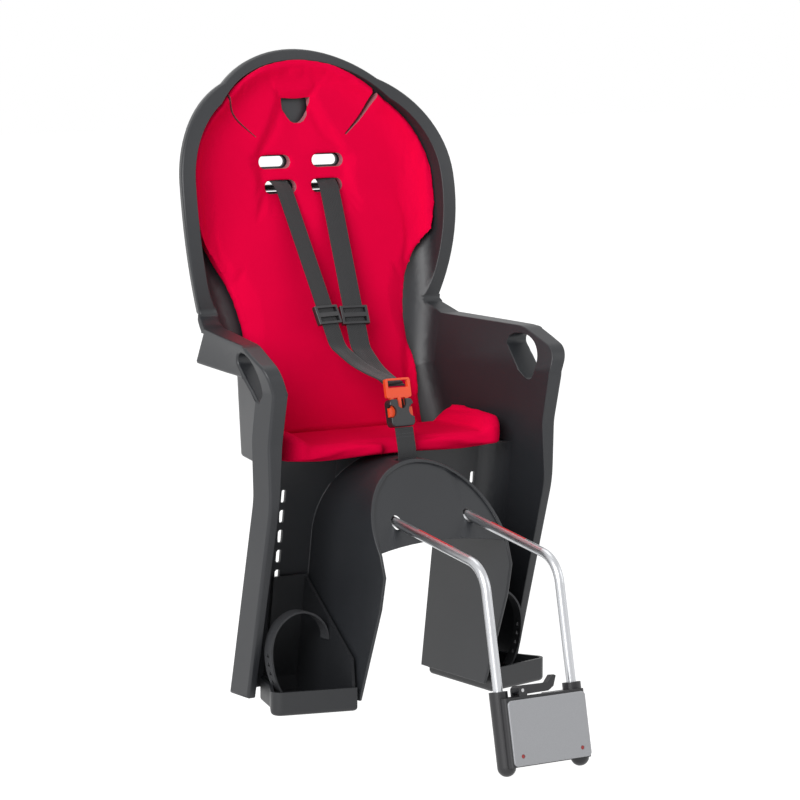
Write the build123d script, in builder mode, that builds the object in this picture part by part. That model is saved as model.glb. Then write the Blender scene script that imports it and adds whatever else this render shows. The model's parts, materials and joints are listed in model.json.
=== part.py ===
from build123d import *
import os
from math import atan, cos, degrees, hypot, radians, sin, sqrt, tan

os.makedirs("parts", exist_ok=True)

# The frame has its origin on the seat-tube axis in the middle of the clamp; -Y is the way the child faces

# Moulded shell, front view at the reference plane
wall = 4.0
outline_y = 450.0
flare = 14.0
crown_z = 774.0
crown_r = 170.0
wing_half = 186.0
wing_z = 604.0
wing_r = 132.0
waist_half = 163.0
waist_z = 445.0
hip_half = 138.0
hip_z = 370.0
foot_half = 160.0
shell_bottom = -8.0
rim_width = 16.0
arm_half = 209.0
leg_half = 197.0
crown_rim = 9.0
form_front = 150.0
form_back = 640.0
form_half = 320.0

# Moulded shell, side view
back_low_y = 424.0
back_low_z = 301.0
back_mid_y = 513.0
back_mid_z = 592.0
head_lean = 9.0
back_bend_r = 350.0
corner_r = 40.0
edge_thick = 5.0
wing_lip = 13.0
arm_lip = 40.0
arm_top_z = 425.0
arm_tip_y = 232.0
arm_tip_z = 378.0
leg_edge_top_y = 245.0
leg_edge_top_z = 235.0
leg_edge_low_y = 311.0
wing_edge_y = 458.0
waist_edge_y = 459.0
waist_edge_z = 443.0
crown_edge_y = 530.0

# Hand loop in each armrest
loop_top = (316.0, 406.0)
loop_crown = (260.0, 393.0)
loop_low = (264.0, 354.0)

# Pan, tunnel over the wheel, apron and leg channels
pan_z = 278.0
tunnel_half = 93.0
tunnel_spring_z = 184.0
tunnel_rise = 92.0
tunnel_back_y = 420.0
apron_top_y = 254.0
apron_top_z = 282.0
apron_low_y = 181.0
apron_low_z = 176.0
apron_recess = 3.0
apron_arch = 9.0
calf_y = 327.0
calf_z = 225.0
leg_lean = 9.0
calf_corner_r = 22.0
rung_x = 138.0
rung_pitch = 25.0
rung_count = 8
rung_top_z = 232.0

# Strap slots in the back
slot_long = 42.0
slot_tall = 13.0
upper_slot_x = 39.0
upper_slot_z = 623.0
lower_slot_x = 34.0
lower_slot_z = 592.0
crotch_slot_y = 264.0

# Pads
pad_gap = 0.5
pad_thick = 14.0
pad_edge_low = (392.0, 263.0)
pad_edge_waist = (440.0, 430.0)
pad_edge_wing = (472.0, 606.0)
pad_edge_head = (516.0, 755.0)
pad_edge_top = (550.0, 860.0)
pad_low_z = 283.0
pad_fold_z = 331.0
pad_core_r = 32.0
seat_pad_front = 277.0
seat_pad_half = 158.0
seat_pad_r = 24.0
dish_half = 126.0
pad_flank = 46.0
flank_slope = 30.0
shield_half = 19.0
shield_z = 700.0
shield_tall = 30.0

# Harness
strap_wide = 26.0
strap_thick = 1.8
strap_end_y = 290.0
strap_stack = 3.2
strap_hang = ((16.0, 570.0), (106.0, 400.0), (150.0, 378.0))
tongue_z = 364.5
slider_at = 0.78
slider_long = 24.0
slider_wide = 37.0
slider_deep = 7.0
slider_opening = 3.6
bar_r = 4.0
bar_long = 60.0
bar_drop = 2.0
bar_gap = 0.3
crotch_bar_r = 3.0
buckle_y = 279.5
buckle_z = 331.0
buckle_lean = 13.0
housing_wide = 34.0
housing_tall = 34.0
housing_deep = 13.0
tongue_deep = 4.5

# Footrests and their straps
foot_gap = 0.5
foot_wall = 4.0
foot_floor_z = -19.0
foot_rim_z = 10.0
foot_back_z = 132.0
foot_inner_x = 97.5
foot_front_y = 224.0
foot_toe_x = 203.0
foot_toe_y = 250.0
foot_strap_y = 280.0
foot_strap_wide = 16.0
foot_strap_thick = 2.5

# Bow and its clamp
tube_tilt = 12.0
rod_r = 5.75
rod_half_gap = 52.0
rod_fit = 0.3
rod_u = -14.0
arm_rise = 8.5
bow_hole_y = 199.0
bow_hole_z = 207.0
bow_hole_r = 7.5
bend_r = 40.0
tail_bend_r = 25.0
bow_tail_y = 384.0
rib_thick = 10.0
rib_half = 66.0
rib_front_y = 296.0
rib_rear_y = 326.0
rib_foot_half = 40.0
rib_screw_x = 28.0
screw_r = 2.5
screw_long = 20.0
screw_head_r = 4.5
screw_head_tall = 3.0
plate_thick = 4.0

# Frame bracket in tube coordinates: X across, u back from the tube axis, w up along the tube
tube_r = 15.9
liner_thick = 2.0
body_half = 57.0
body_depth = 33.0
body_half_tall = 40.0
body_w = -10.0
body_r = 5.0
socket_r = 11.0
socket_top = 38.0
socket_low = -49.0
rod_end_w = -53.0
cover_half = 54.5
cover_half_tall = 38.0
cover_thick = 3.0
bolt_x = 33.0
bolt_w = 19.0
bolt_r = 3.0
bolt_head_r = 5.0
bolt_head_tall = 5.0
jaw_thick = 5.0
jaw_gap = 1.5
nut_flat = 10.0
nut_tall = 5.0
lever_pivot_x = -30.0
lever_pivot_w = 37.0
lever_reach = 46.0
lever_u = -23.5
lever_deep = 11.0
pin_r = 2.0
latch_r = 3.0
latch_w = -8.0
latch_inner = 24.0
latch_bite = 3.0
spring_wire = 0.4
spring_r = 2.2
spring_long = 8.0
lug_thick = 3.0
window_x = 42.0
window_w = -38.0
window_r = 2.3
jaw_half = 42.0
jaw_half_tall = 28.0
liner_gap = 2.0


def tan_deg(angle):
    return tan(radians(angle))


def recline_y(z):
    slope = (back_mid_y - back_low_y) / (back_mid_z - back_low_z)
    return back_mid_y + slope * (z - back_mid_z)


def leg_y(z):
    return calf_y - (z - calf_z) * tan_deg(leg_lean)


def arm_z(y):
    return bow_hole_z + (y - bow_hole_y) * tan_deg(arm_rise)


def draw_outline(grow, crown_grow, hip, foot):
    crown_c = crown_z - crown_r
    wing_c = wing_half - wing_r
    r1 = crown_r + crown_grow
    r2 = wing_r + grow
    span = hypot(wing_c, wing_z - crown_c)
    along = (r1**2 - r2**2 + span**2) / (2 * span)
    aside = sqrt(r1**2 - along**2)
    across = wing_c / span
    rise = (wing_z - crown_c) / span
    notch_x = along * across - aside * rise
    notch_z = crown_c + along * rise + aside * across
    ThreePointArc((-notch_x, notch_z), (0, crown_z + crown_grow), (notch_x, notch_z))
    low = shell_bottom - 60
    for s in (1, -1):
        wing = (s * (wing_half + grow), wing_z)
        waist = (s * (waist_half + grow), waist_z)
        TangentArc(wing, (s * notch_x, notch_z), tangent=(0, 1))
        TangentArc(wing, waist, tangent=(0, -1))
        Line(waist, (s * hip, hip_z))
        Line((s * hip, hip_z), (s * foot, low))
    Line((-foot, low), (foot, low))


def outline_form(grow, crown_grow, arm_inset=None):
    with BuildPart() as form:
        for y in (form_front, form_back):
            spread = (outline_y - y) * tan_deg(flare)
            hip = hip_half + grow + spread
            foot = foot_half + grow + spread
            if arm_inset is not None:
                hip = arm_half - arm_inset
                foot = leg_half - arm_inset
            with BuildSketch(Plane.XZ.offset(-y)):
                with BuildLine():
                    draw_outline(grow + spread, crown_grow + spread, hip, foot)
                make_face()
        loft(ruled=True)
    return form.part


def back_prism(inset):
    low_z = pan_z - 110
    high_z = crown_z + 80
    front_y = form_front - 50
    low = (recline_y(low_z) - inset, low_z)
    middle = (back_mid_y - inset, back_mid_z)
    high = (back_mid_y + (high_z - back_mid_z) * tan_deg(head_lean) - inset, high_z)
    with BuildPart() as prism:
        with BuildSketch(Plane.YZ.offset(-form_half)):
            with BuildLine():
                FilletPolyline(low, middle, high, radius=back_bend_r)
                Polyline(high, (front_y, high_z), (front_y, low_z), low)
            make_face()
        extrude(amount=2 * form_half)
    return prism.part


def back_form(grow, inset, round_r, floor_z):
    with BuildPart() as form:
        add(back_prism(inset))
        add(outline_form(grow, grow), mode=Mode.INTERSECT)
        rear_faces = form.faces().filter_by(lambda f: f.normal_at().Y > 0.9 and f.center().Z > pan_z)
        rear_edges = rear_faces.edges().filter_by(lambda e: e.center().Z > pan_z - 100)
        fillet(rear_edges.filter_by(Axis.X, reverse=True), radius=round_r)
        split(bisect_by=Plane.XY.offset(floor_z))
    return form.part


def leg_form(grow, inset, round_r):
    low_z = shell_bottom - 50
    high_z = pan_z + 40
    front_y = form_front - 50
    with BuildPart() as form:
        with BuildSketch(Plane.YZ.offset(-form_half)):
            with BuildLine():
                Polyline(
                    (front_y, low_z),
                    (leg_y(low_z) - inset, low_z),
                    (leg_y(high_z) - inset, high_z),
                    (front_y, high_z),
                    close=True,
                )
            make_face()
        extrude(amount=2 * form_half)
        add(outline_form(grow, grow), mode=Mode.INTERSECT)
        rear_face = form.faces().filter_by(lambda f: f.normal_at().Y > 0.9)
        fillet(rear_face.edges().filter_by(lambda e: abs(e.center().X) > 50), radius=round_r)
    return form.part


def bucket_form(grow, inset, round_r):
    with BuildPart() as form:
        add(back_form(grow, inset, round_r, pan_z + inset))
        add(leg_form(grow, inset, round_r))
    return form.part


def edge_region(depth):
    far_y = form_back + 100
    rounds = (
        (waist_edge_y, waist_edge_z, 9),
        (arm_tip_y + 60, arm_top_z - 2, 50),
        (arm_tip_y, arm_tip_z + 20, 26),
        (arm_tip_y, arm_tip_z - 12, 26),
        (leg_edge_top_y, arm_tip_z - 70, 60),
        (leg_edge_top_y, leg_edge_top_z, 120),
    )
    with BuildSketch(Plane.YZ.offset(-form_half)) as region:
        with BuildLine():
            ThreePointArc(
                (crown_edge_y, crown_z - 10),
                (wing_edge_y, wing_z),
                (waist_edge_y, waist_edge_z),
            )
            Polyline(
                (waist_edge_y, waist_edge_z),
                (waist_edge_y - 30, arm_top_z + 4),
                (arm_tip_y + 60, arm_top_z - 2),
                (arm_tip_y, arm_tip_z + 20),
                (arm_tip_y, arm_tip_z - 12),
                (leg_edge_top_y, arm_tip_z - 70),
                (leg_edge_top_y, leg_edge_top_z),
                (leg_edge_low_y + 20, shell_bottom - 70),
                (far_y, shell_bottom - 70),
                (far_y, crown_z + 60),
                (crown_edge_y + 40, crown_z + 60),
                (crown_edge_y, crown_z - 10),
            )
        make_face()
        for y, z, radius in rounds:
            fillet(region.vertices().sort_by_distance((y, z))[0], radius=radius)
        if depth:
            offset(amount=-depth)
    return region.sketch


def edge_prism(depth):
    with BuildPart() as prism:
        extrude(edge_region(depth), amount=2 * form_half, dir=(1, 0, 0))
    return prism.part


def tunnel_block(inset):
    half = tunnel_half - inset
    low = shell_bottom - 60
    with BuildPart() as block:
        with BuildSketch(Plane.XZ.offset(-tunnel_back_y)):
            with Locations((0, tunnel_spring_z)):
                Ellipse(half, tunnel_rise - inset)
                Rectangle(2 * half, tunnel_spring_z - low, align=(Align.CENTER, Align.MAX))
        extrude(amount=tunnel_back_y - form_front)
    return block.part


def side_prism(points, half):
    with BuildPart() as prism:
        with BuildSketch(Plane.YZ.offset(-half)):
            with BuildLine():
                Polyline(*points, close=True)
            make_face()
        extrude(amount=2 * half)
    return prism.part


outer_form = bucket_form(0, -wall, corner_r)
inner_form = bucket_form(-wall, 0, corner_r - wall)
rim_form = outline_form(rim_width, crown_rim, 0)
rim_inside = outline_form(rim_width - wall, crown_rim - wall, wall)
edge_solid = edge_prism(0)

# Rolled edge of the wings, armrests and legs
with BuildPart() as edge_flange:
    add(rim_form)
    add(edge_solid, mode=Mode.INTERSECT)
    add(edge_prism(edge_thick), mode=Mode.SUBTRACT)
    add(inner_form, mode=Mode.SUBTRACT)

with BuildPart() as wing_skirt:
    add(rim_form)
    add(edge_solid, mode=Mode.INTERSECT)
    add(edge_prism(wing_lip), mode=Mode.SUBTRACT)
    add(rim_inside, mode=Mode.SUBTRACT)
    split(bisect_by=Plane.XY.offset(waist_edge_z))

with BuildPart() as arm_skirt:
    add(rim_form)
    add(edge_solid, mode=Mode.INTERSECT)
    add(edge_prism(arm_lip), mode=Mode.SUBTRACT)
    add(rim_inside, mode=Mode.SUBTRACT)
    split(bisect_by=Plane.XY.offset(arm_top_z + 3), keep=Keep.BOTTOM)
    split(bisect_by=Plane.XZ.offset(-(waist_edge_y - 36)))

# Hand loop opening with its collar
with BuildPart() as loop_cut:
    with BuildSketch(Plane.YZ.offset(-form_half)) as loop_shape:
        with BuildLine():
            ThreePointArc(loop_top, loop_crown, loop_low)
            Line(loop_low, loop_top)
        make_face()
        fillet(loop_shape.vertices(), radius=8)
    extrude(amount=2 * form_half)

with BuildPart() as loop_collar:
    with BuildSketch(Plane.YZ.offset(-form_half)):
        add(loop_shape.sketch_local)
        offset(amount=wall)
    extrude(amount=2 * form_half)
    add(rim_form, mode=Mode.INTERSECT)
    add(inner_form, mode=Mode.SUBTRACT)
    add(edge_solid, mode=Mode.INTERSECT)

# Tunnel over the wheel with the apron that closes its front
apron_slope = (apron_top_y - apron_low_y) / (apron_top_z - apron_low_z)
tunnel_profile = (
    (apron_top_y + 8 * apron_slope, apron_top_z + 8),
    (apron_low_y, apron_low_z),
    (apron_low_y - 9, apron_low_z - 26),
    (apron_low_y, apron_low_z - 66),
    (apron_low_y + 46, shell_bottom),
    (leg_y(shell_bottom) + wall, shell_bottom),
    (leg_y(pan_z) + wall, pan_z),
    (leg_y(pan_z) + wall, apron_top_z + 8),
)
with BuildPart() as tunnel:
    add(tunnel_block(0))
    add(tunnel_block(wall), mode=Mode.SUBTRACT)
    add(side_prism(tunnel_profile, form_half), mode=Mode.INTERSECT)

apron_profile = (
    (apron_top_y + apron_recess + 8 * apron_slope, apron_top_z + 8),
    (apron_low_y + apron_recess, apron_low_z),
    (apron_low_y + apron_recess + wall, apron_low_z),
    (apron_top_y + apron_recess + wall + 8 * apron_slope, apron_top_z + 8),
)
arch_r = (tunnel_half**2 + apron_arch**2) / (2 * apron_arch)
arm_dir = (0, cos(radians(arm_rise)), sin(radians(arm_rise)))
with BuildPart() as apron:
    add(side_prism(apron_profile, form_half))
    add(tunnel_block(wall / 2), mode=Mode.INTERSECT)
    with BuildSketch(Plane.XZ.offset(-form_front)):
        with Locations((0, apron_low_z + apron_arch - arch_r)):
            Circle(arch_r)
    extrude(amount=-(tunnel_back_y - form_front), mode=Mode.SUBTRACT)
    for s in (1, -1):
        with BuildSketch(Plane((s * rod_half_gap, bow_hole_y, bow_hole_z), x_dir=(1, 0, 0), z_dir=arm_dir)):
            Circle(bow_hole_r)
        extrude(amount=60, both=True, mode=Mode.SUBTRACT)

# Ribs under the pan that seat the bow
def arm_plane(y, x=0):
    return Plane((x, y, arm_z(y)), x_dir=(-1, 0, 0), z_dir=arm_dir)


with BuildPart() as bow_ribs:
    for y in (rib_front_y, rib_rear_y):
        with BuildSketch(arm_plane(y)):
            with BuildLine():
                Polyline(
                    (-rib_half, 0),
                    (-rib_half, 60),
                    (rib_half, 60),
                    (rib_half, 0),
                    (rib_foot_half, 0),
                    (rib_foot_half, -rod_r - rod_fit),
                    (-rib_foot_half, -rod_r - rod_fit),
                    (-rib_foot_half, 0),
                    close=True,
                )
            make_face()
        extrude(amount=rib_thick)
    split(bisect_by=Plane.XY.offset(pan_z - wall / 2), keep=Keep.BOTTOM)
    for s in (1, -1):
        with BuildSketch(arm_plane(bow_hole_y, s * rod_half_gap)):
            Circle(rod_r + rod_fit)
        extrude(amount=250, mode=Mode.SUBTRACT)

tunnel_fill = tunnel_block(wall / 2)
with BuildPart() as front_rib:
    add(bow_ribs.part)
    split(bisect_by=Plane.XZ.offset(-(rib_front_y + rib_rear_y + rib_thick) / 2))
    add(tunnel_fill, mode=Mode.INTERSECT)

with BuildPart() as rear_rib:
    add(bow_ribs.part)
    split(bisect_by=Plane.XZ.offset(-(rib_front_y + rib_rear_y + rib_thick) / 2), keep=Keep.BOTTOM)

screw_planes = []
for y in (rib_front_y, rib_rear_y):
    foot = arm_plane(y + rib_thick / 2 * cos(radians(arm_rise)))
    for x in (rib_screw_x, -rib_screw_x):
        spot = foot.from_local_coords((x, -rod_r - rod_fit - plate_thick, 0))
        screw_planes.append(Plane(spot, x_dir=(1, 0, 0), z_dir=foot.y_dir))

with BuildPart() as seat_shell:
    add(outer_form)
    add(inner_form, mode=Mode.SUBTRACT)
    add(edge_solid, mode=Mode.INTERSECT)
    add(edge_flange.part)
    add(wing_skirt.part)
    add(arm_skirt.part)
    add(loop_collar.part)
    add(loop_cut.part, mode=Mode.SUBTRACT)
    add(tunnel_block(wall), mode=Mode.SUBTRACT)
    add(tunnel.part)
    add(apron.part)
    add(front_rib.part)
    add(rear_rib.part)
    for plane in screw_planes:
        with BuildSketch(plane):
            Circle(screw_r + 0.1)
        extrude(amount=screw_long, mode=Mode.SUBTRACT)
    split(bisect_by=Plane.XY.offset(shell_bottom))
    with BuildSketch(Plane.XZ.offset(-outline_y)):
        with Locations(*[(s * upper_slot_x, upper_slot_z) for s in (1, -1)]):
            SlotOverall(slot_long, slot_tall)
        with Locations(*[(s * lower_slot_x, lower_slot_z) for s in (1, -1)]):
            SlotOverall(slot_long, slot_tall)
    extrude(amount=-(form_back - outline_y), mode=Mode.SUBTRACT)
    with BuildSketch(Plane.XY.offset(apron_top_z - 40)):
        with Locations((0, crotch_slot_y)):
            Rectangle(34, 7)
    extrude(amount=80, mode=Mode.SUBTRACT)
    for k in range(rung_count):
        rung_z = rung_top_z - k * rung_pitch
        with BuildSketch(Plane.XZ.offset(-(leg_y(rung_z) - 20))):
            with Locations(*[(s * rung_x, rung_z) for s in (1, -1)]):
                RectangleRounded(6, 16, 2)
        extrude(amount=-50, mode=Mode.SUBTRACT)
seat_shell.part.label = "seat_shell"
export_step(seat_shell.part, "parts/seat_shell.step")

# Pads
with BuildPart() as fold_cut:
    add(back_prism(pad_gap + pad_thick))
    split(bisect_by=Plane.XY.offset(pad_fold_z), keep=Keep.BOTTOM)

with BuildPart() as back_pad:
    add(back_form(-wall - pad_gap, pad_gap, corner_r - wall - pad_gap, pad_low_z))
    core_grow = -wall - pad_gap - pad_thick
    add(back_form(core_grow, pad_gap + pad_thick, pad_core_r, pan_z), mode=Mode.SUBTRACT)
    add(
        side_prism(
            (
                pad_edge_low,
                pad_edge_waist,
                pad_edge_wing,
                pad_edge_head,
                pad_edge_top,
                (form_front - 50, pad_edge_top[1]),
                (form_front - 50, pad_edge_low[1]),
            ),
            form_half,
        ),
        mode=Mode.SUBTRACT,
    )
    add(fold_cut.part, mode=Mode.SUBTRACT)
    with BuildSketch(Plane.XZ.offset(-outline_y + 60)):
        with Locations(*[(s * upper_slot_x, upper_slot_z) for s in (1, -1)]):
            SlotOverall(slot_long + 2, slot_tall + 2)
        with Locations(*[(s * lower_slot_x, lower_slot_z) for s in (1, -1)]):
            SlotOverall(slot_long + 2, slot_tall + 2)
        with BuildLine():
            Line((-shield_half, shield_z), (shield_half, shield_z))
            for s in (1, -1):
                Line((s * shield_half, shield_z), (s * shield_half, shield_z - shield_tall * 0.45))
                Line((s * shield_half, shield_z - shield_tall * 0.45), (0, shield_z - shield_tall))
        make_face()
    extrude(amount=-(form_back - outline_y), mode=Mode.SUBTRACT)
back_pad.part.label = "back_pad"
export_step(back_pad.part, "parts/back_pad.step")

seat_pad_low = pan_z + pad_gap
with BuildPart() as seat_hollow:
    with BuildSketch(Plane.XZ.offset(-form_front)):
        with BuildLine():
            Polyline(
                (-dish_half, seat_pad_low + pad_thick),
                (dish_half, seat_pad_low + pad_thick),
                (dish_half + flank_slope, seat_pad_low + pad_flank),
                (dish_half + flank_slope, seat_pad_low + 2 * pad_flank),
                (-dish_half - flank_slope, seat_pad_low + 2 * pad_flank),
                (-dish_half - flank_slope, seat_pad_low + pad_flank),
                close=True,
            )
        make_face()
    extrude(amount=-(form_back - form_front))

with BuildPart() as seat_pad:
    pad_front = pad_gap + pad_thick + 1
    add(back_form(-wall - pad_gap, pad_front, corner_r - wall - pad_gap, seat_pad_low))
    add(
        side_prism(
            (
                (seat_pad_front, seat_pad_low),
                (seat_pad_front, seat_pad_low + pad_thick + 8),
                (seat_pad_front + 20, seat_pad_low + pad_thick + 20),
                (back_low_y + 20, seat_pad_low + pad_flank),
                (back_low_y + 20, seat_pad_low),
            ),
            form_half,
        ),
        mode=Mode.INTERSECT,
    )
    add(seat_hollow.part, mode=Mode.SUBTRACT)
    with BuildSketch(Plane.XY.offset(seat_pad_low - 20)):
        with Locations((0, seat_pad_front)):
            RectangleRounded(2 * seat_pad_half, form_back - form_front, seat_pad_r, align=(Align.CENTER, Align.MIN))
    extrude(amount=100, mode=Mode.INTERSECT)
    with BuildSketch(Plane.XY.offset(seat_pad_low - 20)):
        with Locations((0, seat_pad_front)):
            Rectangle(46, 14)
    extrude(amount=80, mode=Mode.SUBTRACT)
seat_pad.part.label = "seat_pad"
export_step(seat_pad.part, "parts/seat_pad.step")

# Bent steel bow that carries the shell
tilt_sin = sin(radians(tube_tilt))
tilt_cos = cos(radians(tube_tilt))


def tube_yz(u, w):
    return (u * tilt_cos + w * tilt_sin, w * tilt_cos - u * tilt_sin)


def tube_plane(x, u, w, z_dir):
    y, z = tube_yz(u, w)
    return Plane((x, y, z), x_dir=(0, *tube_yz(0, 1)) if z_dir[0] else (1, 0, 0), z_dir=z_dir)


along_tube = (0, *tube_yz(0, 1))
behind_tube = (0, *tube_yz(1, 0))
ahead_tube = (0, *tube_yz(-1, 0))
rise = tan_deg(arm_rise)
start_y, start_z = tube_yz(rod_u, 0)
bend_w = (bow_hole_z - start_z + (start_y - bow_hole_y) * rise) / (tilt_cos - tilt_sin * rise)
bow_end = tube_yz(rod_u, rod_end_w)
bow_bend = tube_yz(rod_u, bend_w)
bow_rear_y = bow_tail_y - tail_bend_r - 10
bow_rear = (bow_rear_y, arm_z(bow_rear_y))
groove_w = latch_w + latch_r + 0.6

with BuildPart() as bow:
    for s in (1, -1):
        with BuildLine(Plane.YZ.offset(s * rod_half_gap)) as rod_path:
            FilletPolyline(bow_end, bow_bend, bow_rear, radius=bend_r)
        with BuildSketch(Plane(rod_path.line @ 0, z_dir=rod_path.line % 0)):
            Circle(rod_r)
        sweep(path=rod_path.line)
    tail_long = (bow_tail_y - bow_rear_y) / cos(radians(arm_rise))
    tail_plane = Plane((0, *bow_rear), x_dir=(1, 0, 0), z_dir=(0, -arm_dir[2], arm_dir[1]))
    with BuildLine(tail_plane) as tail_path:
        FilletPolyline(
            (-rod_half_gap, 0),
            (-rod_half_gap, tail_long),
            (rod_half_gap, tail_long),
            (rod_half_gap, 0),
            radius=tail_bend_r,
        )
    with BuildSketch(Plane(tail_path.line @ 0, z_dir=tail_path.line % 0)):
        Circle(rod_r)
    sweep(path=tail_path.line)
    groove_mid = (groove_w + rod_end_w - 5) / 2
    for s in (1, -1):
        with BuildSketch(tube_plane(s * (rod_half_gap - rod_r), rod_u, groove_mid, (1, 0, 0))):
            Rectangle(groove_w - rod_end_w + 5, 2 * (latch_r + 0.4))
        extrude(amount=latch_bite + 0.4, both=True, mode=Mode.SUBTRACT)
bow.part.label = "bow"
export_step(bow.part, "parts/bow.step")

with BuildPart() as bow_clamp_plate:
    with BuildSketch(arm_plane(rib_front_y)):
        with Locations((0, -rod_r - rod_fit)):
            Rectangle(2 * rib_half, plate_thick, align=(Align.CENTER, Align.MAX))
    extrude(amount=(rib_rear_y - rib_front_y) / cos(radians(arm_rise)) + rib_thick)
    for plane in screw_planes:
        with BuildSketch(plane):
            Circle(screw_r + 0.1)
        extrude(amount=plate_thick, mode=Mode.SUBTRACT)
bow_clamp_plate.part.label = "bow_clamp_plate"
export_step(bow_clamp_plate.part, "parts/bow_clamp_plate.step")

with BuildPart() as bow_clamp_screws:
    for plane in screw_planes:
        with BuildSketch(plane):
            Circle(screw_r)
        extrude(amount=screw_long - 1)
        with BuildSketch(plane):
            Circle(screw_head_r)
        extrude(amount=-screw_head_tall)
        with BuildSketch(plane.offset(-screw_head_tall)):
            RegularPolygon(screw_r, 6)
        extrude(amount=screw_head_tall - 1, mode=Mode.SUBTRACT)
bow_clamp_screws.part.label = "bow_clamp_screws"
export_step(bow_clamp_screws.part, "parts/bow_clamp_screws.step")

# Frame bracket
body_top = body_w + body_half_tall
bracket_plane = Plane((0, 0, 0), x_dir=(1, 0, 0), z_dir=along_tube)
lug_u = (lever_u - lever_deep / 2 - 0.5, lever_u + lever_deep / 2 + 0.5 + lug_thick)
with BuildPart() as bracket_body:
    with BuildSketch(bracket_plane.offset(body_top - 2 * body_half_tall)):
        with Locations((0, -body_depth)):
            RectangleRounded(2 * body_half, body_depth, body_r, align=(Align.CENTER, Align.MIN))
    extrude(amount=2 * body_half_tall)
    for s in (1, -1):
        with BuildSketch(bracket_plane.offset(socket_low)):
            with Locations((s * rod_half_gap, rod_u)):
                Circle(socket_r)
        extrude(amount=socket_top - socket_low)
        with Locations(bracket_plane.from_local_coords((s * rod_half_gap, rod_u, socket_low))):
            Sphere(socket_r)
    for u in lug_u:
        with BuildSketch(tube_plane(lever_pivot_x, u, body_top, ahead_tube)):
            with Locations((0, -2)):
                Rectangle(11, lever_pivot_w - body_top + 2, align=(Align.CENTER, Align.MIN))
            with Locations((0, lever_pivot_w - body_top)):
                Circle(5.5)
        extrude(amount=lug_thick)
    with BuildSketch(tube_plane(lever_pivot_x, 0, lever_pivot_w, ahead_tube)):
        Circle(pin_r + 0.05)
    extrude(amount=body_depth + 10, mode=Mode.SUBTRACT)
    for s in (1, -1):
        with BuildSketch(bracket_plane.offset(rod_end_w - 0.5)):
            with Locations((s * rod_half_gap, rod_u)):
                Circle(rod_r + rod_fit)
        extrude(amount=120, mode=Mode.SUBTRACT)
        with BuildSketch(tube_plane(s * latch_inner, rod_u, latch_w, (s, 0, 0))):
            Circle(latch_r + 0.05)
        extrude(amount=rod_half_gap - latch_inner, mode=Mode.SUBTRACT)
    with BuildSketch(bracket_plane.offset(-2 * body_half_tall)):
        Circle(tube_r + liner_thick)
    extrude(amount=4 * body_half_tall, mode=Mode.SUBTRACT)
    for x in (bolt_x, -bolt_x):
        for w in (bolt_w, -bolt_w):
            with BuildSketch(tube_plane(x, 1, w, ahead_tube)):
                Circle(bolt_r + 0.1)
            extrude(amount=body_depth + 2, mode=Mode.SUBTRACT)
            with BuildSketch(tube_plane(x, -body_depth, w, behind_tube)):
                RegularPolygon(nut_flat / 2 + 0.2, 6, major_radius=False)
            extrude(amount=nut_tall + 1, mode=Mode.SUBTRACT)
    for s in (1, -1):
        with BuildSketch(tube_plane(s * window_x, -body_depth, window_w, behind_tube)):
            Circle(window_r + 0.2)
        extrude(amount=3, mode=Mode.SUBTRACT)
bracket_body.part.label = "bracket_body"
export_step(bracket_body.part, "parts/bracket_body.step")

with BuildPart() as bracket_cover:
    with BuildSketch(tube_plane(0, -body_depth, body_w - 1, ahead_tube)):
        RectangleRounded(2 * cover_half, 2 * cover_half_tall, 5)
        with Locations(*[(s * window_x, window_w - body_w + 1) for s in (1, -1)]):
            Circle(window_r + 0.2, mode=Mode.SUBTRACT)
    extrude(amount=cover_thick)
    fillet(bracket_cover.faces().sort_by(Axis.Y)[0].outer_wire().edges(), radius=1.2)
bracket_cover.part.label = "bracket_cover"
export_step(bracket_cover.part, "parts/bracket_cover.step")

with BuildPart() as indicator_windows:
    for s in (1, -1):
        with BuildSketch(tube_plane(s * window_x, -body_depth + 2.8, window_w, ahead_tube)):
            Circle(window_r)
        extrude(amount=2.8 + cover_thick - 0.5)
indicator_windows.part.label = "indicator_windows"
export_step(indicator_windows.part, "parts/indicator_windows.step")

jaw_r = tube_r + liner_thick
with BuildPart() as bracket_jaw:
    with BuildSketch(bracket_plane.offset(-jaw_half_tall)):
        Circle(jaw_r + jaw_thick)
        with Locations((0, jaw_gap)):
            Rectangle(2 * jaw_half, jaw_thick, align=(Align.CENTER, Align.MIN))
        Circle(jaw_r, mode=Mode.SUBTRACT)
        with Locations((0, jaw_gap)):
            Rectangle(4 * jaw_half, 4 * jaw_half, align=(Align.CENTER, Align.MAX), mode=Mode.SUBTRACT)
    extrude(amount=2 * jaw_half_tall)
    for x in (bolt_x, -bolt_x):
        for w in (bolt_w, -bolt_w):
            with BuildSketch(tube_plane(x, 0, w, behind_tube)):
                Circle(bolt_r + 0.2)
            extrude(amount=jaw_gap + jaw_thick + 1, mode=Mode.SUBTRACT)
bracket_jaw.part.label = "bracket_jaw"
export_step(bracket_jaw.part, "parts/bracket_jaw.step")

with BuildPart() as jaw_liners:
    with BuildSketch(bracket_plane.offset(-jaw_half_tall)):
        Circle(jaw_r)
        Circle(tube_r, mode=Mode.SUBTRACT)
        Rectangle(4 * jaw_r, 2 * liner_gap, mode=Mode.SUBTRACT)
    extrude(amount=2 * jaw_half_tall)
jaw_liners.part.label = "jaw_liners"
export_step(jaw_liners.part, "parts/jaw_liners.step")

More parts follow.
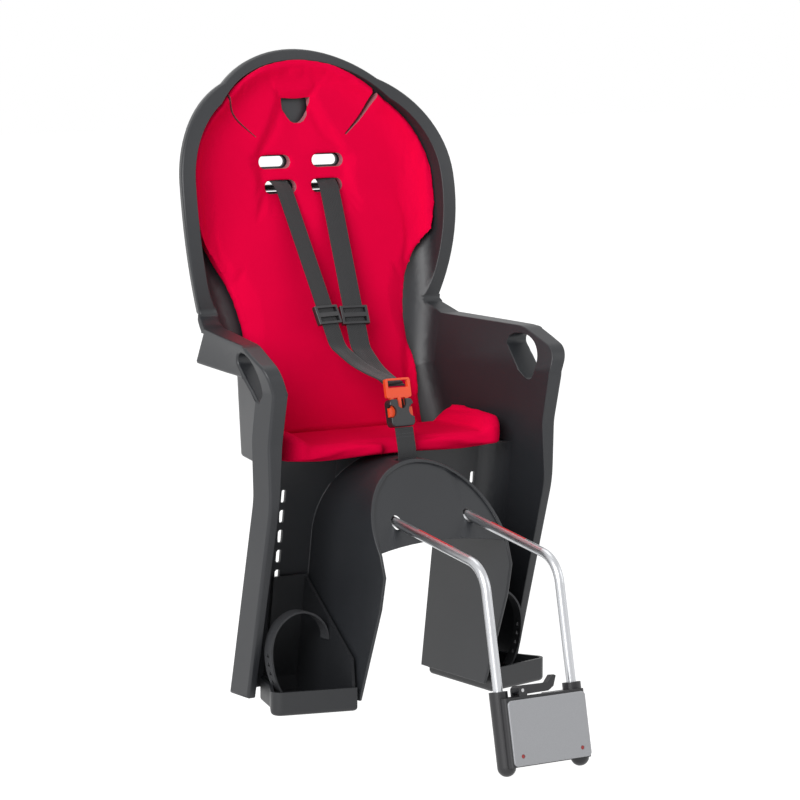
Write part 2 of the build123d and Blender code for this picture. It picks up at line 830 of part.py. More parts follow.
bolt_seat = jaw_gap + jaw_thick
with BuildPart() as bracket_bolts:
    for x in (bolt_x, -bolt_x):
        for w in (bolt_w, -bolt_w):
            with BuildSketch(tube_plane(x, bolt_seat, w, ahead_tube)):
                Circle(bolt_r)
            extrude(amount=bolt_seat + body_depth - 0.5)
            with BuildSketch(tube_plane(x, bolt_seat, w, behind_tube)):
                Circle(bolt_head_r)
                RegularPolygon(bolt_r, 6, mode=Mode.SUBTRACT)
            extrude(amount=bolt_head_tall)
bracket_bolts.part.label = "bracket_bolts"
export_step(bracket_bolts.part, "parts/bracket_bolts.step")

with BuildPart() as bracket_nuts:
    for x in (bolt_x, -bolt_x):
        for w in (bolt_w, -bolt_w):
            with BuildSketch(tube_plane(x, -body_depth + 0.8, w, behind_tube)):
                RegularPolygon(nut_flat / 2, 6, major_radius=False)
                Circle(bolt_r + 0.05, mode=Mode.SUBTRACT)
            extrude(amount=nut_tall)
bracket_nuts.part.label = "bracket_nuts"
export_step(bracket_nuts.part, "parts/bracket_nuts.step")

with BuildPart() as release_lever:
    with BuildSketch(tube_plane(lever_pivot_x, lever_u + lever_deep / 2, lever_pivot_w, ahead_tube)):
        Circle(5.5)
        with BuildLine():
            Polyline(
                (0, -5),
                (lever_reach - 8, -4.5),
                (lever_reach, 0),
                (lever_reach + 5, 12),
                (lever_reach + 1, 13.5),
                (lever_reach - 7, 5),
                (0, 5.5),
                close=True,
            )
        make_face()
        Circle(pin_r + 0.05, mode=Mode.SUBTRACT)
    extrude(amount=lever_deep)
    fillet(release_lever.edges().filter_by(Axis(origin=(0, 0, 0), direction=behind_tube)), radius=1)
release_lever.part.label = "release_lever"
export_step(release_lever.part, "parts/release_lever.step")

with BuildPart() as lever_pin:
    with BuildSketch(tube_plane(lever_pivot_x, lug_u[1], lever_pivot_w, ahead_tube)):
        Circle(pin_r)
    extrude(amount=lug_u[1] - lug_u[0] + lug_thick)
lever_pin.part.label = "lever_pin"
export_step(lever_pin.part, "parts/lever_pin.step")

for side, s in (("left", -1), ("right", 1)):
    with BuildPart() as latch_pin:
        with BuildSketch(tube_plane(s * (latch_inner + spring_long), rod_u, latch_w, (s, 0, 0))):
            Circle(latch_r)
        extrude(amount=rod_half_gap - rod_r + latch_bite - latch_inner - spring_long)
    latch_pin.part.label = "latch_pin_" + side
    export_step(latch_pin.part, "parts/latch_pin_" + side + ".step")
    with BuildPart() as latch_spring:
        with BuildLine() as coil:
            coil_long = spring_long - 2 * spring_wire - 0.4
            Helix(pitch=coil_long / 4, height=coil_long, radius=spring_r)
        with BuildSketch(Plane(coil.line @ 0, z_dir=coil.line % 0)):
            Circle(spring_wire)
        sweep(path=coil.line, is_frenet=True)
    seat = tube_plane(s * (latch_inner + spring_wire + 0.2), rod_u, latch_w, (s, 0, 0))
    latch_spring_placed = seat.location * latch_spring.part
    latch_spring_placed.label = "latch_spring_" + side
    export_step(latch_spring_placed, "parts/latch_spring_" + side + ".step")

# Harness webbing and hardware
front_pad_y = back_mid_y - pad_gap - pad_thick


def strap_frame(s):
    run = hypot(s * lower_slot_x, front_pad_y - strap_end_y)
    ahead = (-s * lower_slot_x / run, (strap_end_y - front_pad_y) / run, 0)
    return Plane((s * lower_slot_x, front_pad_y, 0), x_dir=ahead, z_dir=(ahead[1], -ahead[0], 0))


for side, s in (("left", -1), ("right", 1)):
    frame = strap_frame(s)
    drop = 0 if s < 0 else strap_stack
    high, low, merge = strap_hang
    low = (low[0] - drop / 2, low[1] - drop)
    merge = (merge[0] - drop / 2, merge[1] - drop)
    run = hypot(lower_slot_x, front_pad_y - strap_end_y)
    with BuildPart() as shoulder_strap:
        with BuildSketch(frame.offset(-strap_wide / 2)):
            with BuildLine():
                FilletPolyline(
                    (-15, lower_slot_z - bar_drop),
                    (5, lower_slot_z - bar_drop),
                    high,
                    low,
                    merge,
                    (run, tongue_z - drop),
                    radius=8,
                )
            trace(line_width=strap_thick)
        extrude(amount=strap_wide)
    shoulder_strap.part.label = "shoulder_strap_" + side
    export_step(shoulder_strap.part, "parts/shoulder_strap_" + side + ".step")
    step = hypot(low[0] - high[0], low[1] - high[1])
    along = Vector((low[0] - high[0]) / step, (low[1] - high[1]) / step, 0)
    spot = (high[0] + (low[0] - high[0]) * slider_at, high[1] + (low[1] - high[1]) * slider_at, 0)
    down = frame.from_local_coords(along) - frame.origin
    slide = Plane(frame.from_local_coords(spot), x_dir=frame.z_dir, z_dir=down)
    with BuildPart() as strap_slider:
        with BuildSketch(slide.offset(-slider_long / 2)):
            RectangleRounded(slider_wide, slider_deep, 1.5)
            Rectangle(strap_wide + 3.5, slider_opening, mode=Mode.SUBTRACT)
        extrude(amount=slider_long)
        for shift in (-slider_long / 4, slider_long / 4):
            with BuildSketch(slide.offset(shift - 3.2)):
                Rectangle(strap_wide + 3.5, slider_deep, align=(Align.CENTER, Align.MAX))
            extrude(amount=6.4, mode=Mode.SUBTRACT)
    strap_slider.part.label = "strap_slider_" + side
    export_step(strap_slider.part, "parts/strap_slider_" + side + ".step")

recline = degrees(atan((back_mid_y - back_low_y) / (back_mid_z - back_low_z)))
bend_lean = (recline + head_lean) / 2
bend_sag = back_bend_r * (1 / cos(radians(recline - head_lean) / 2) - 1)
bar_y = back_mid_y - bend_sag + wall - bar_drop * tan_deg(bend_lean)
bar_y += (bar_r + bar_gap) / cos(radians(bend_lean))
with BuildPart() as strap_anchor_bars:
    for s in (1, -1):
        with BuildSketch(Plane.YZ.offset(s * lower_slot_x - bar_long / 2)):
            with Locations((bar_y, lower_slot_z - bar_drop)):
                Circle(bar_r)
        extrude(amount=bar_long)
    with BuildSketch(Plane.YZ.offset(-23)):
        with Locations((crotch_slot_y, tunnel_spring_z + tunnel_rise - wall - 6.5)):
            Circle(crotch_bar_r)
    extrude(amount=46)
strap_anchor_bars.part.label = "strap_anchor_bars"
export_step(strap_anchor_bars.part, "parts/strap_anchor_bars.step")

buckle_plane = Plane(
    (0, buckle_y, buckle_z),
    x_dir=(1, 0, 0),
    z_dir=(0, -cos(radians(buckle_lean)), sin(radians(buckle_lean))),
)
housing_low = buckle_plane.from_local_coords((0, -housing_tall / 2 - 2, 0))
with BuildPart() as crotch_strap:
    with BuildSketch(Plane.YZ.offset(-strap_wide / 2)):
        with BuildLine():
            FilletPolyline(
                (crotch_slot_y, tunnel_spring_z + tunnel_rise - wall - 3.2),
                (crotch_slot_y, pan_z + 8),
                (housing_low.Y - 0.2, housing_low.Z - 0.5),
                radius=10,
            )
        trace(line_width=2)
    extrude(amount=strap_wide)
crotch_strap.part.label = "crotch_strap"
export_step(crotch_strap.part, "parts/crotch_strap.step")

with BuildPart() as buckle_housing:
    with BuildSketch(buckle_plane.offset(-housing_deep / 2)):
        with Locations((0, -2)):
            RectangleRounded(housing_wide, housing_tall, 6)
    extrude(amount=housing_deep)
    fillet(buckle_housing.faces().sort_by(Axis.Y)[0].outer_wire().edges(), radius=2.5)
    with BuildSketch(buckle_plane.offset(-tongue_deep / 2 - 0.5)):
        with Locations((0, -11)):
            Rectangle(housing_wide - 8, housing_tall, align=(Align.CENTER, Align.MIN))
        with Locations((0, -7)):
            Rectangle(housing_wide + 8, 13, align=(Align.CENTER, Align.MIN))
    extrude(amount=tongue_deep + 1, mode=Mode.SUBTRACT)
    with BuildSketch(buckle_plane):
        with Locations((housing_wide / 2, 0), (-housing_wide / 2, 0)):
            Circle(8)
    extrude(amount=housing_deep, mode=Mode.SUBTRACT)
    with BuildSketch(buckle_plane):
        with Locations((0, 9)):
            Circle(6)
            Rectangle(12, 12, align=(Align.CENTER, Align.MIN))
    extrude(amount=housing_deep, mode=Mode.SUBTRACT)
buckle_housing.part.label = "buckle_housing"
export_step(buckle_housing.part, "parts/buckle_housing.step")

with BuildPart() as buckle_tongue:
    with BuildSketch(buckle_plane.offset(-tongue_deep / 2)):
        with Locations((0, 28.5)):
            RectangleRounded(housing_wide + 2, 24, 3)
        with Locations((0, 33.5)):
            Rectangle(strap_wide + 2, 9, mode=Mode.SUBTRACT)
        for x in (-10.5, 0, 10.5):
            with Locations((x, 18)):
                Rectangle(4.6, 26, align=(Align.CENTER, Align.MAX))
        with Locations((-13.5, -1), (13.5, -1)):
            Rectangle(6.2, 11)
    extrude(amount=tongue_deep)
buckle_tongue.part.label = "buckle_tongue"
export_step(buckle_tongue.part, "parts/buckle_tongue.step")

# Footrests with their straps
tray_rear_y = leg_y(foot_rim_z) - foot_gap
for side, s in (("left", -1), ("right", 1)):
    with BuildPart() as footrest:
        with BuildSketch(Plane.XY.offset(foot_floor_z)) as tray_plan:
            with BuildLine():
                Polyline(
                    (s * foot_inner_x, tray_rear_y),
                    (s * (foot_inner_x + 43), tray_rear_y),
                    (s * (foot_inner_x + 67), tray_rear_y - 22),
                    (s * (foot_inner_x + 82), foot_toe_y + 42),
                    (s * foot_toe_x, foot_toe_y),
                    (s * foot_inner_x, foot_front_y),
                    close=True,
                )
            make_face()
            outer_corner = tray_plan.vertices().sort_by_distance((s * foot_toe_x, foot_toe_y))[0]
            fillet(outer_corner, radius=12)
        extrude(amount=foot_rim_z - foot_floor_z)
        fillet(footrest.faces().sort_by(Axis.Z)[0].outer_wire().edges(), radius=5)
        with BuildSketch(Plane.XY.offset(foot_floor_z + foot_wall)):
            add(tray_plan.sketch_local)
            offset(amount=-foot_wall)
        extrude(amount=60, mode=Mode.SUBTRACT)
        with BuildSketch(Plane.YZ.offset(s * foot_inner_x)):
            with BuildLine():
                Polyline(
                    (leg_y(foot_back_z) - foot_gap - 1, foot_back_z),
                    (foot_front_y + 8, foot_rim_z + 34),
                    (foot_front_y + 4, foot_rim_z - 6),
                    (tray_rear_y, foot_floor_z + 6),
                    close=True,
                )
            make_face()
        extrude(amount=s * foot_wall)
        with BuildSketch(Plane.YZ.offset(s * foot_inner_x)):
            with BuildLine():
                Polyline(
                    (leg_y(foot_back_z) - foot_gap, foot_back_z),
                    (leg_y(foot_floor_z + 8) - foot_gap, foot_floor_z + 8),
                    (leg_y(foot_floor_z + 8) - foot_gap - 5, foot_floor_z + 8),
                    (leg_y(foot_back_z) - foot_gap - 5, foot_back_z),
                    close=True,
                )
            make_face()
        extrude(amount=s * 48)
        for rib in range(5):
            with BuildSketch(Plane.XY.offset(foot_floor_z + foot_wall - 0.5)):
                with Locations((s * (foot_inner_x + 40), foot_toe_y + 8 + rib * 16)):
                    Rectangle(58, 3)
            extrude(amount=2)
    footrest.part.label = "footrest_" + side
    export_step(footrest.part, "parts/footrest_" + side + ".step")
    with BuildPart() as foot_strap:
        with BuildSketch(Plane.XZ.offset(-foot_strap_y)):
            with BuildLine():
                Spline(
                    (s * (foot_inner_x + 68), foot_floor_z + 16),
                    (s * (foot_inner_x + 85), 44),
                    (s * (foot_inner_x + 78), 78),
                    (s * (foot_inner_x + 48), 97),
                    (s * (foot_inner_x + 16), 85),
                    (s * (foot_inner_x + foot_wall + 1.8), 60),
                )
            trace(line_width=foot_strap_thick)
        extrude(amount=-foot_strap_wide)
        for k in range(4):
            hole_z = 14 + 11 * k
            with BuildSketch(Plane.YZ.offset(s * (foot_inner_x + 60))):
                with Locations((foot_strap_y + foot_strap_wide / 2, hole_z)):
                    RegularPolygon(3.6, 3, rotation=90)
            extrude(amount=s * 40, mode=Mode.SUBTRACT)
    foot_strap.part.label = "foot_strap_" + side
    export_step(foot_strap.part, "parts/foot_strap_" + side + ".step")
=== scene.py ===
import json
from math import cos, hypot, pi, radians, sin, tan

import bmesh
import bpy
import numpy as np
from mathutils import Matrix, Vector
from mathutils.bvhtree import BVHTree
from mathutils.kdtree import KDTree

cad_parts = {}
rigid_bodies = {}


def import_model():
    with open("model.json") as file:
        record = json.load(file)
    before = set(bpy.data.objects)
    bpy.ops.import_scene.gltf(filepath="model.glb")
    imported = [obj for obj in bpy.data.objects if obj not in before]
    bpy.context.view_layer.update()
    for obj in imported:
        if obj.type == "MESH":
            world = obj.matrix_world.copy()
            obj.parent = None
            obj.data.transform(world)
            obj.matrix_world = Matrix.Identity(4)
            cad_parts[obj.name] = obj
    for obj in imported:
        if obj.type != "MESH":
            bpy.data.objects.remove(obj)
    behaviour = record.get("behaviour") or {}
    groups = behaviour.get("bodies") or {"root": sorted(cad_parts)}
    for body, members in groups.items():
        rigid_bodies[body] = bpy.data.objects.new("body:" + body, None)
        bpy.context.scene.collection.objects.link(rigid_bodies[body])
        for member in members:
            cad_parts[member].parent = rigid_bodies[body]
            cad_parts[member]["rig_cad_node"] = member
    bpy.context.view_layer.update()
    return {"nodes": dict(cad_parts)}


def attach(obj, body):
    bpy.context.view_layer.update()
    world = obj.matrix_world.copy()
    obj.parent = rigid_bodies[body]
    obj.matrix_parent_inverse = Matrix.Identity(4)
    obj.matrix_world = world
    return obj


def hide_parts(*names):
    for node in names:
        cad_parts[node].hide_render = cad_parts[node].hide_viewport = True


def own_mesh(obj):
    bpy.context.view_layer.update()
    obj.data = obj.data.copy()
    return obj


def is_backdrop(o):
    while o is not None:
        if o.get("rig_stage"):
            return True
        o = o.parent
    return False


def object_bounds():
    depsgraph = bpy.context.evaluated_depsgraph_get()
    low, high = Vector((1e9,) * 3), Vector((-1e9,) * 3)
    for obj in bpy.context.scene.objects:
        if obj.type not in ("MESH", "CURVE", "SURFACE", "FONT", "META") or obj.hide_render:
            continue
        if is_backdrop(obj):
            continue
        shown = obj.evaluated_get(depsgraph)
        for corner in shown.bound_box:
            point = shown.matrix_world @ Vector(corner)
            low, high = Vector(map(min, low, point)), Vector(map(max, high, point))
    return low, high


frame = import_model()

bl_info = {
    "name": "Child bike seat",
    "version": (1, 0, 0),
    "blender": (4, 5, 0),
    "location": "3D View > Sidebar > Bike seat",
    "description": "Dresses the packed child bike seat with its pads, webbing, finishes and studio",
    "category": "Object",
}

# Sizes and places that the solids have too, in metres, with the arm's rise in degrees
SLOT_LONG = 0.042
SLOT_TALL = 0.013
UPPER_SLOT = (0.039, 0.623)
LOWER_SLOT = (0.034, 0.592)
PAD_EDGE = ((0.392, 0.263), (0.440, 0.430), (0.472, 0.606), (0.516, 0.755), (0.550, 0.860))
STRAP_START_Y = 0.4985
STRAP_END_Y = 0.290
STRAP_STACK = 0.0032
CROTCH_THICK = 0.002
WING_Z = 0.604
ARM_RISE = 8.5
BOW_HOLE = (0.199, 0.207)
ROD_X = 0.052

# Sizes and places of the covers and finishes, in metres
WAIST_Z = 0.46
WAIST_BLEND = 0.08
# Width of the painted highlight line along the back pad's front edge
PAD_EDGE_HIGHLIGHT = 0.005
PAD_HELD = 0.0045
SLOT_MARGIN = 0.004
CUT_FROM_Y = 0.30
CUT_TO_Y = 0.62
SHIELD_HALF = 0.0212
SHIELD_TOP = 0.702
SHIELD_TALL = 0.032
SHIELD_ARCH = 0.0016
RIM_BACK_Y = 0.56
RIM_INNER_X = 0.15
RIM_CROWN_Z = 0.69
STITCH_SPOTS = (0.008, 0.012, 0.034, 0.038)
STITCH_LONG = 0.0024
STITCH_WIDE = 0.0008
STITCH_HIGH = 0.0006
STRIPE_FROM_Y = 0.087
STRIPE_TO_Y = 0.159

# Cloth steps and the studio
CLOTH_FRAMES = 20
WHITE = (1, 1, 1, 1)
FLOOR_HALF = 12.0
FLOOR_GAP = 0.0005
FLOOR_GLOW = 1.42
FLOOR_GLOW_SHARE = 0.7
CAMERA_AT = (-2.3860, -3.3619, 0.9117)
CAMERA_TOWARD = (0.54347, 0.82944, -0.12915)
SENSOR_WIDE = 36.0


def pad_edge_y(z):
    """How far back the back pad's front edge lies at a height."""
    return np.interp(z, [point[1] for point in PAD_EDGE], [point[0] for point in PAD_EDGE])


class PadSettings(bpy.types.PropertyGroup):
    colour: bpy.props.FloatVectorProperty(
        name="Pad colour",
        description="Colour of the knitted cover on the foam pads",
        subtype="COLOR",
        default=(0.80, 0.0004, 0.048),
        min=0,
        max=1,
    )
    # Besides the cut faces, this colour paints a highlight line along the back pad's front edge
    foam: bpy.props.FloatVectorProperty(
        name="Cut foam",
        description="Colour of the foam where the pads are cut",
        subtype="COLOR",
        default=(0.46, 0.15, 0.18),
        min=0,
        max=1,
    )
    voxel: bpy.props.FloatProperty(
        name="Cloth cell",
        description="Cell size of the pad covers before they are inflated",
        unit="LENGTH",
        default=0.0030,
    )
    swell: bpy.props.FloatProperty(
        name="Swell",
        description="Furthest that a point of the cover may rise",
        unit="LENGTH",
        default=0.005,
    )
    taper: bpy.props.FloatProperty(
        name="Edge taper",
        description="Distance from the back pad's edge over which it thins out",
        unit="LENGTH",
        default=0.036,
    )
    pressure: bpy.props.FloatProperty(
        name="Foam pressure",
        description="Pressure of the foam on its cover",
        default=4.0,
    )
    slit: bpy.props.FloatProperty(
        name="Slit width",
        description="Width of the right slit at its open end; the left one is half as wide",
        unit="LENGTH",
        default=0.0105,
    )


class HarnessSettings(bpy.types.PropertyGroup):
    colour: bpy.props.FloatVectorProperty(
        name="Webbing colour",
        description="Colour of the woven harness straps",
        subtype="COLOR",
        default=(0.013, 0.0135, 0.015),
        min=0,
        max=1,
    )
    wide: bpy.props.FloatProperty(
        name="Webbing width",
        description="Width of the harness webbing",
        unit="LENGTH",
        default=0.026,
    )
    thick: bpy.props.FloatProperty(
        name="Webbing thickness",
        description="Thickness of the harness webbing",
        unit="LENGTH",
        default=0.0017,
    )
    stitch: bpy.props.FloatProperty(
        name="Stitch spacing",
        description="Distance between two stitches in the webbing",
        unit="LENGTH",
        default=0.0034,
    )


class ShellSettings(bpy.types.PropertyGroup):
    colour: bpy.props.FloatVectorProperty(
        name="Shell colour",
        description="Colour of the moulded shell",
        subtype="COLOR",
        default=(0.0165, 0.018, 0.021),
        min=0,
        max=1,
    )
    roughness: bpy.props.FloatProperty(
        name="Shell roughness",
        description="Roughness of the moulded shell",
        subtype="FACTOR",
        default=0.42,
        min=0,
        max=1,
    )
    rim: bpy.props.FloatProperty(
        name="Rim radius",
        description="Radius of the rolled outer rim",
        unit="LENGTH",
        default=0.0036,
    )
    edge: bpy.props.FloatProperty(
        name="Edge radius",
        description="Radius of the shell's other edges",
        unit="LENGTH",
        default=0.0014,
    )


class StageSettings(bpy.types.PropertyGroup):
    key: bpy.props.FloatProperty(
        name="Key light",
        description="Power of the large light above the left shoulder",
        unit="POWER",
        default=128.0,
    )
    fill: bpy.props.FloatProperty(
        name="Fill light",
        description="Power of the light on the right",
        unit="POWER",
        default=10.0,
    )
    around: bpy.props.FloatProperty(
        name="Studio light",
        description="Strength of the even light from all round",
        default=0.34,
    )
    lens: bpy.props.FloatProperty(
        name="Lens",
        description="Focal length of the camera",
        unit="CAMERA",
        default=162.65,
    )


class SeatSettings(bpy.types.PropertyGroup):
    pads: bpy.props.PointerProperty(type=PadSettings, name="Pads")
    harness: bpy.props.PointerProperty(type=HarnessSettings, name="Harness")
    shell: bpy.props.PointerProperty(type=ShellSettings, name="Shell")
    stage: bpy.props.PointerProperty(type=StageSettings, name="Stage")


# Shader maths


class Wire:
    """A socket of a shader tree; arithmetic on it adds Math nodes."""

    def __init__(self, shading, socket):
        self.shading = shading
        self.socket = socket

    def maths(self, operation, *values):
        sockets = dict(enumerate(values))
        return self.shading.add("ShaderNodeMath", {"operation": operation}, sockets)

    def __add__(self, other):
        return self.maths("ADD", self, other)

    def __radd__(self, other):
        return self.maths("ADD", other, self)

    def __sub__(self, other):
        return self.maths("SUBTRACT", self, other)

    def __rsub__(self, other):
        return self.maths("SUBTRACT", other, self)

    def __mul__(self, other):
        return self.maths("MULTIPLY", self, other)

    def __rmul__(self, other):
        return self.maths("MULTIPLY", other, self)

    def __truediv__(self, other):
        return self.maths("DIVIDE", self, other)

    def __rtruediv__(self, other):
        return self.maths("DIVIDE", other, self)

    def __abs__(self):
        return self.maths("ABSOLUTE", self)

    def sine(self):
        return self.maths("SINE", self)

    def either(self, other):
        return self.maths("MAXIMUM", self, other)

    def smooth(self, low, high):
        values = {"Value": self, "From Min": low, "From Max": high}
        settings = {"interpolation_type": "SMOOTHSTEP"}
        return self.shading.add("ShaderNodeMapRange", settings, values)


class Shading:
    """A shader tree in the making."""

    def __init__(self, tree):
        self.tree = tree

    def add(self, kind, settings=None, values=None, out=0):
        node = self.tree.nodes.new(kind)
        for name, value in (settings or {}).items():
            setattr(node, name, value)
        for name, value in (values or {}).items():
            self.feed(node.inputs[name], value)
        return Wire(self, node.outputs[out])

    def feed(self, socket, value):
        if isinstance(value, Wire):
            self.tree.links.new(value.socket, socket)
        else:
            socket.default_value = value

    def seen(self):
        """1 on rays that are seen straight, in a mirror or through a clear piece."""
        rays = self.tree.nodes.new("ShaderNodeLightPath").outputs
        straight = Wire(self, rays["Is Camera Ray"])
        mirrored = Wire(self, rays["Is Glossy Ray"])
        return straight.either(mirrored).either(Wire(self, rays["Is Transmission Ray"]))

    def show(self, output, first, second, share):
        """Sends a mix of two shaders to the tree's output."""
        blend = self.add("ShaderNodeMixShader", None, {0: share, 1: first, 2: second})
        self.feed(self.tree.nodes[output].inputs["Surface"], blend)


class Finish(Shading):
    """A procedural material in the making."""

    def __init__(self, name, **constants):
        self.material = bpy.data.materials.new(name)
        self.material.use_nodes = True
        super().__init__(self.material.node_tree)
        self.shader = self.tree.nodes["Principled BSDF"]
        for socket, value in constants.items():
            self.shader.inputs[socket.replace("_", " ")].default_value = value

    def drive(self, socket, value):
        self.feed(self.shader.inputs[socket], value)

    def place(self):
        return self.add("ShaderNodeTexCoord", out="Object")

    def axes(self, vector):
        node = self.tree.nodes.new("ShaderNodeSeparateXYZ")
        self.feed(node.inputs[0], vector)
        return [Wire(self, socket) for socket in node.outputs]

    def noise(self, vector, scale, detail=2.0):
        values = {"Vector": vector, "Scale": scale, "Detail": detail}
        return self.add("ShaderNodeTexNoise", None, values)

    def stretched(self, vector, scale):
        return self.add("ShaderNodeMapping", None, {"Vector": vector, "Scale": scale})

    def mix(self, share, first, second):
        values = {0: share, 6: first, 7: second}
        return self.add("ShaderNodeMix", {"data_type": "RGBA"}, values, 2)

    def relief(self, height, strength, distance):
        values = {"Height": height, "Strength": strength, "Distance": distance}
        self.drive("Normal", self.add("ShaderNodeBump", None, values))


def rgba(colour, level=1.0):
    return (*[min(1.0, channel * level) for channel in colour], 1.0)


def moulded_finish(name, colour, roughness, grain=1100.0, strength=0.16, scuff=0.5):
    finish = Finish(name)
    place = finish.place()
    grain_height = finish.noise(place, grain, 1.0)
    cloud = finish.noise(place, 11.0, 3.0)
    scratch = finish.noise(finish.stretched(place, (90.0, 90.0, 420.0)), 1.0, 2.0)
    mark = scratch.smooth(0.66, 0.78) * cloud.smooth(0.42, 0.66) * scuff
    tone = finish.mix(cloud, rgba(colour, 0.86), rgba(colour, 1.16))
    finish.drive("Base Color", finish.mix(mark, tone, rgba(colour, 1.9)))
    finish.drive("Roughness", roughness + (cloud - 0.5) * 0.12 + mark * 0.12)
    finish.relief(grain_height, strength, 0.0004)
    return finish.material


def knit_finish(name, colour, foam):
    finish = Finish(name, Specular_IOR_Level=0.03)
    place = finish.place()
    across, _, up = finish.axes(place)
    loops = (across * (2 * pi / 0.0021)).sine() * (up * (2 * pi / 0.0016)).sine()
    fuzz = finish.noise(place, 900.0, 2.0)
    cloud = finish.noise(place, 14.0, 2.0)
    # Painted highlight: the rim attribute marks a pale line along the back pad's front edge, which is
    # mixed towards the foam colour
    rim = finish.add("ShaderNodeAttribute", {"attribute_name": "rim"}, None, "Fac")
    tone = finish.mix(cloud, rgba(colour, 0.93), rgba(colour, 1.05))
    tone = finish.mix((fuzz - 0.35) * 0.3, tone, rgba(colour, 0.8))
    finish.drive("Base Color", finish.mix(rim.smooth(0.3, 0.7) * 0.6, tone, rgba(foam)))
    finish.drive("Roughness", 0.74 + fuzz * 0.14)
    finish.relief(loops * 0.5 + fuzz, 0.22, 0.0006)
    return finish.material


def foam_finish(name, colour):
    finish = Finish(name)
    place = finish.place()
    cells = finish.add("ShaderNodeTexVoronoi", None, {"Vector": place, "Scale": 1100.0})
    tone = finish.mix(cells, rgba(colour, 0.7), rgba(colour, 1.1))
    finish.drive("Base Color", tone)
    finish.drive("Roughness", 0.8 + cells * 0.1)
    finish.relief(cells, 0.4, 0.0004)
    return finish.material


def webbing_finish(name, colour):
    finish = Finish(name, Sheen_Weight=0.2, Sheen_Roughness=0.4)
    run = finish.add("ShaderNodeUVMap", {"uv_map": "weave"})
    across, along, _ = finish.axes(run)
    chevron = ((along + abs(across) * 0.9) * (2 * pi / 0.0026)).sine()
    ribs = (across * (2 * pi / 0.0021)).sine()
    fuzz = finish.noise(finish.place(), 1300.0, 2.0)
    height = chevron * 0.5 + ribs * 0.35 + fuzz * 0.5
    tone = finish.mix(height.smooth(-0.5, 1.1), rgba(colour, 0.55), rgba(colour, 1.6))
    finish.drive("Base Color", tone)
    finish.drive("Roughness", 0.62 + fuzz * 0.2)
    finish.relief(height, 0.45, 0.0005)
    return finish.material


def plated_finish(name, colour, roughness, along=(60.0, 60.0, 900.0)):
    finish = Finish(name, Metallic=1.0)
    place = finish.place()
    drawn = finish.noise(finish.stretched(place, along), 1.0, 2.0)
    cloud = finish.noise(place, 35.0, 2.0)
    finish.drive("Base Color", finish.mix(cloud, rgba(colour, 0.9), rgba(colour, 1.06)))
    finish.drive("Roughness", roughness + drawn * 0.09 + (cloud - 0.5) * 0.06)
    finish.relief(drawn, 0.05, 0.0002)
    return finish.material


def rod_finish(name, colour, mark):
    finish = Finish(name)
    place = finish.place()
    x, y, z = finish.axes(place)
    drawn = finish.noise(finish.stretched(place, (500.0, 25.0, 25.0)), 1.0, 2.0)
    cloud = finish.noise(place, 30.0, 2.0)
    hole_y, hole_z = BOW_HOLE
    arm_z = hole_z + (y - hole_y) * tan(radians(ARM_RISE))
    on_top = (z - arm_z).smooth(0.0042, 0.0049)
    beside = 1 - abs(abs(x) - ROD_X).smooth(0.0014, 0.0019)
    begun = y.smooth(STRIPE_FROM_Y - 0.001, STRIPE_FROM_Y + 0.001)
    length = begun * (1 - y.smooth(STRIPE_TO_Y - 0.001, STRIPE_TO_Y + 0.001))
    stripe = on_top * beside * length
    tone = finish.mix(cloud, rgba(colour, 0.92), rgba(colour, 1.05))
    finish.drive("Base Color", finish.mix(stripe, tone, rgba(mark)))
    finish.drive("Metallic", 1 - stripe)
    finish.drive("Roughness", 0.24 + drawn * 0.1 + stripe * 0.2)
    finish.relief(drawn, 0.03, 0.0002)
    return finish.material


def painted_finish(name, colour):
    finish = Finish(name, Metallic=0.55)
    place = finish.place()
    flake = finish.noise(place, 2200.0, 1.0)
    cloud = finish.noise(place, 18.0, 2.0)
    finish.drive("Base Color", finish.mix(flake, rgba(colour, 0.82), rgba(colour, 1.15)))
    finish.drive("Roughness", 0.34 + cloud * 0.1)
    finish.relief(flake, 0.08, 0.0002)
    return finish.material


def rubber_finish(name, colour):
    finish = Finish(name)
    place = finish.place()
    grain = finish.noise(place, 700.0, 2.0)
    bloom = finish.noise(place, 40.0, 3.0)
    finish.drive("Base Color", finish.mix(bloom, rgba(colour, 0.8), rgba(colour, 1.35)))
    finish.drive("Roughness", 0.56 + grain * 0.16)
    finish.relief(grain, 0.2, 0.0004)
    return finish.material


def lens_finish(name, colour):
    finish = Finish(name, Coat_Weight=0.6)
    place = finish.place()
    depth = finish.noise(place, 260.0, 2.0)
    finish.drive("Base Color", finish.mix(depth, rgba(colour, 0.6), rgba(colour, 1.3)))
    finish.drive("Roughness", 0.16 + depth * 0.08)
    return finish.material


def dress(material, *nodes):
    """Gives CAD nodes a finish."""
    for name in nodes:
        mesh = frame["nodes"][name].data
        mesh.materials.clear()
        mesh.materials.append(material)


# Mesh helpers


def new_piece(name, mesh, *materials):
    piece = bpy.data.objects.new(name, mesh)
    bpy.context.scene.collection.objects.link(piece)
    for material in materials:
        mesh.materials.append(material)
    return piece


def baked(piece):
    """Swaps the piece's mesh for its evaluated one and drops its modifiers."""
    graph = bpy.context.evaluated_depsgraph_get()
    mesh = bpy.data.meshes.new_from_object(piece.evaluated_get(graph))
    piece.modifiers.clear()
    old = piece.data
    piece.data = mesh
    bpy.data.meshes.remove(old)
    mesh.name = piece.name
    return piece


def points_of(mesh):
    points = np.empty(len(mesh.vertices) * 3)
    mesh.vertices.foreach_get("co", points)
    return points.reshape(-1, 3)


def put_points(mesh, points):
    mesh.vertices.foreach_set("co", points.ravel())
    mesh.update()


def smooth_run(points, rounds=3):
    """Cuts the corners of a path, with its ends kept."""
    run = [Vector(p) for p in points]
    for _ in range(rounds):
        cut = [run[0]]
        for a, b in zip(run, run[1:]):
            cut += [a.lerp(b, 0.25), a.lerp(b, 0.75)]
        run = [*cut, run[-1]]
    return run


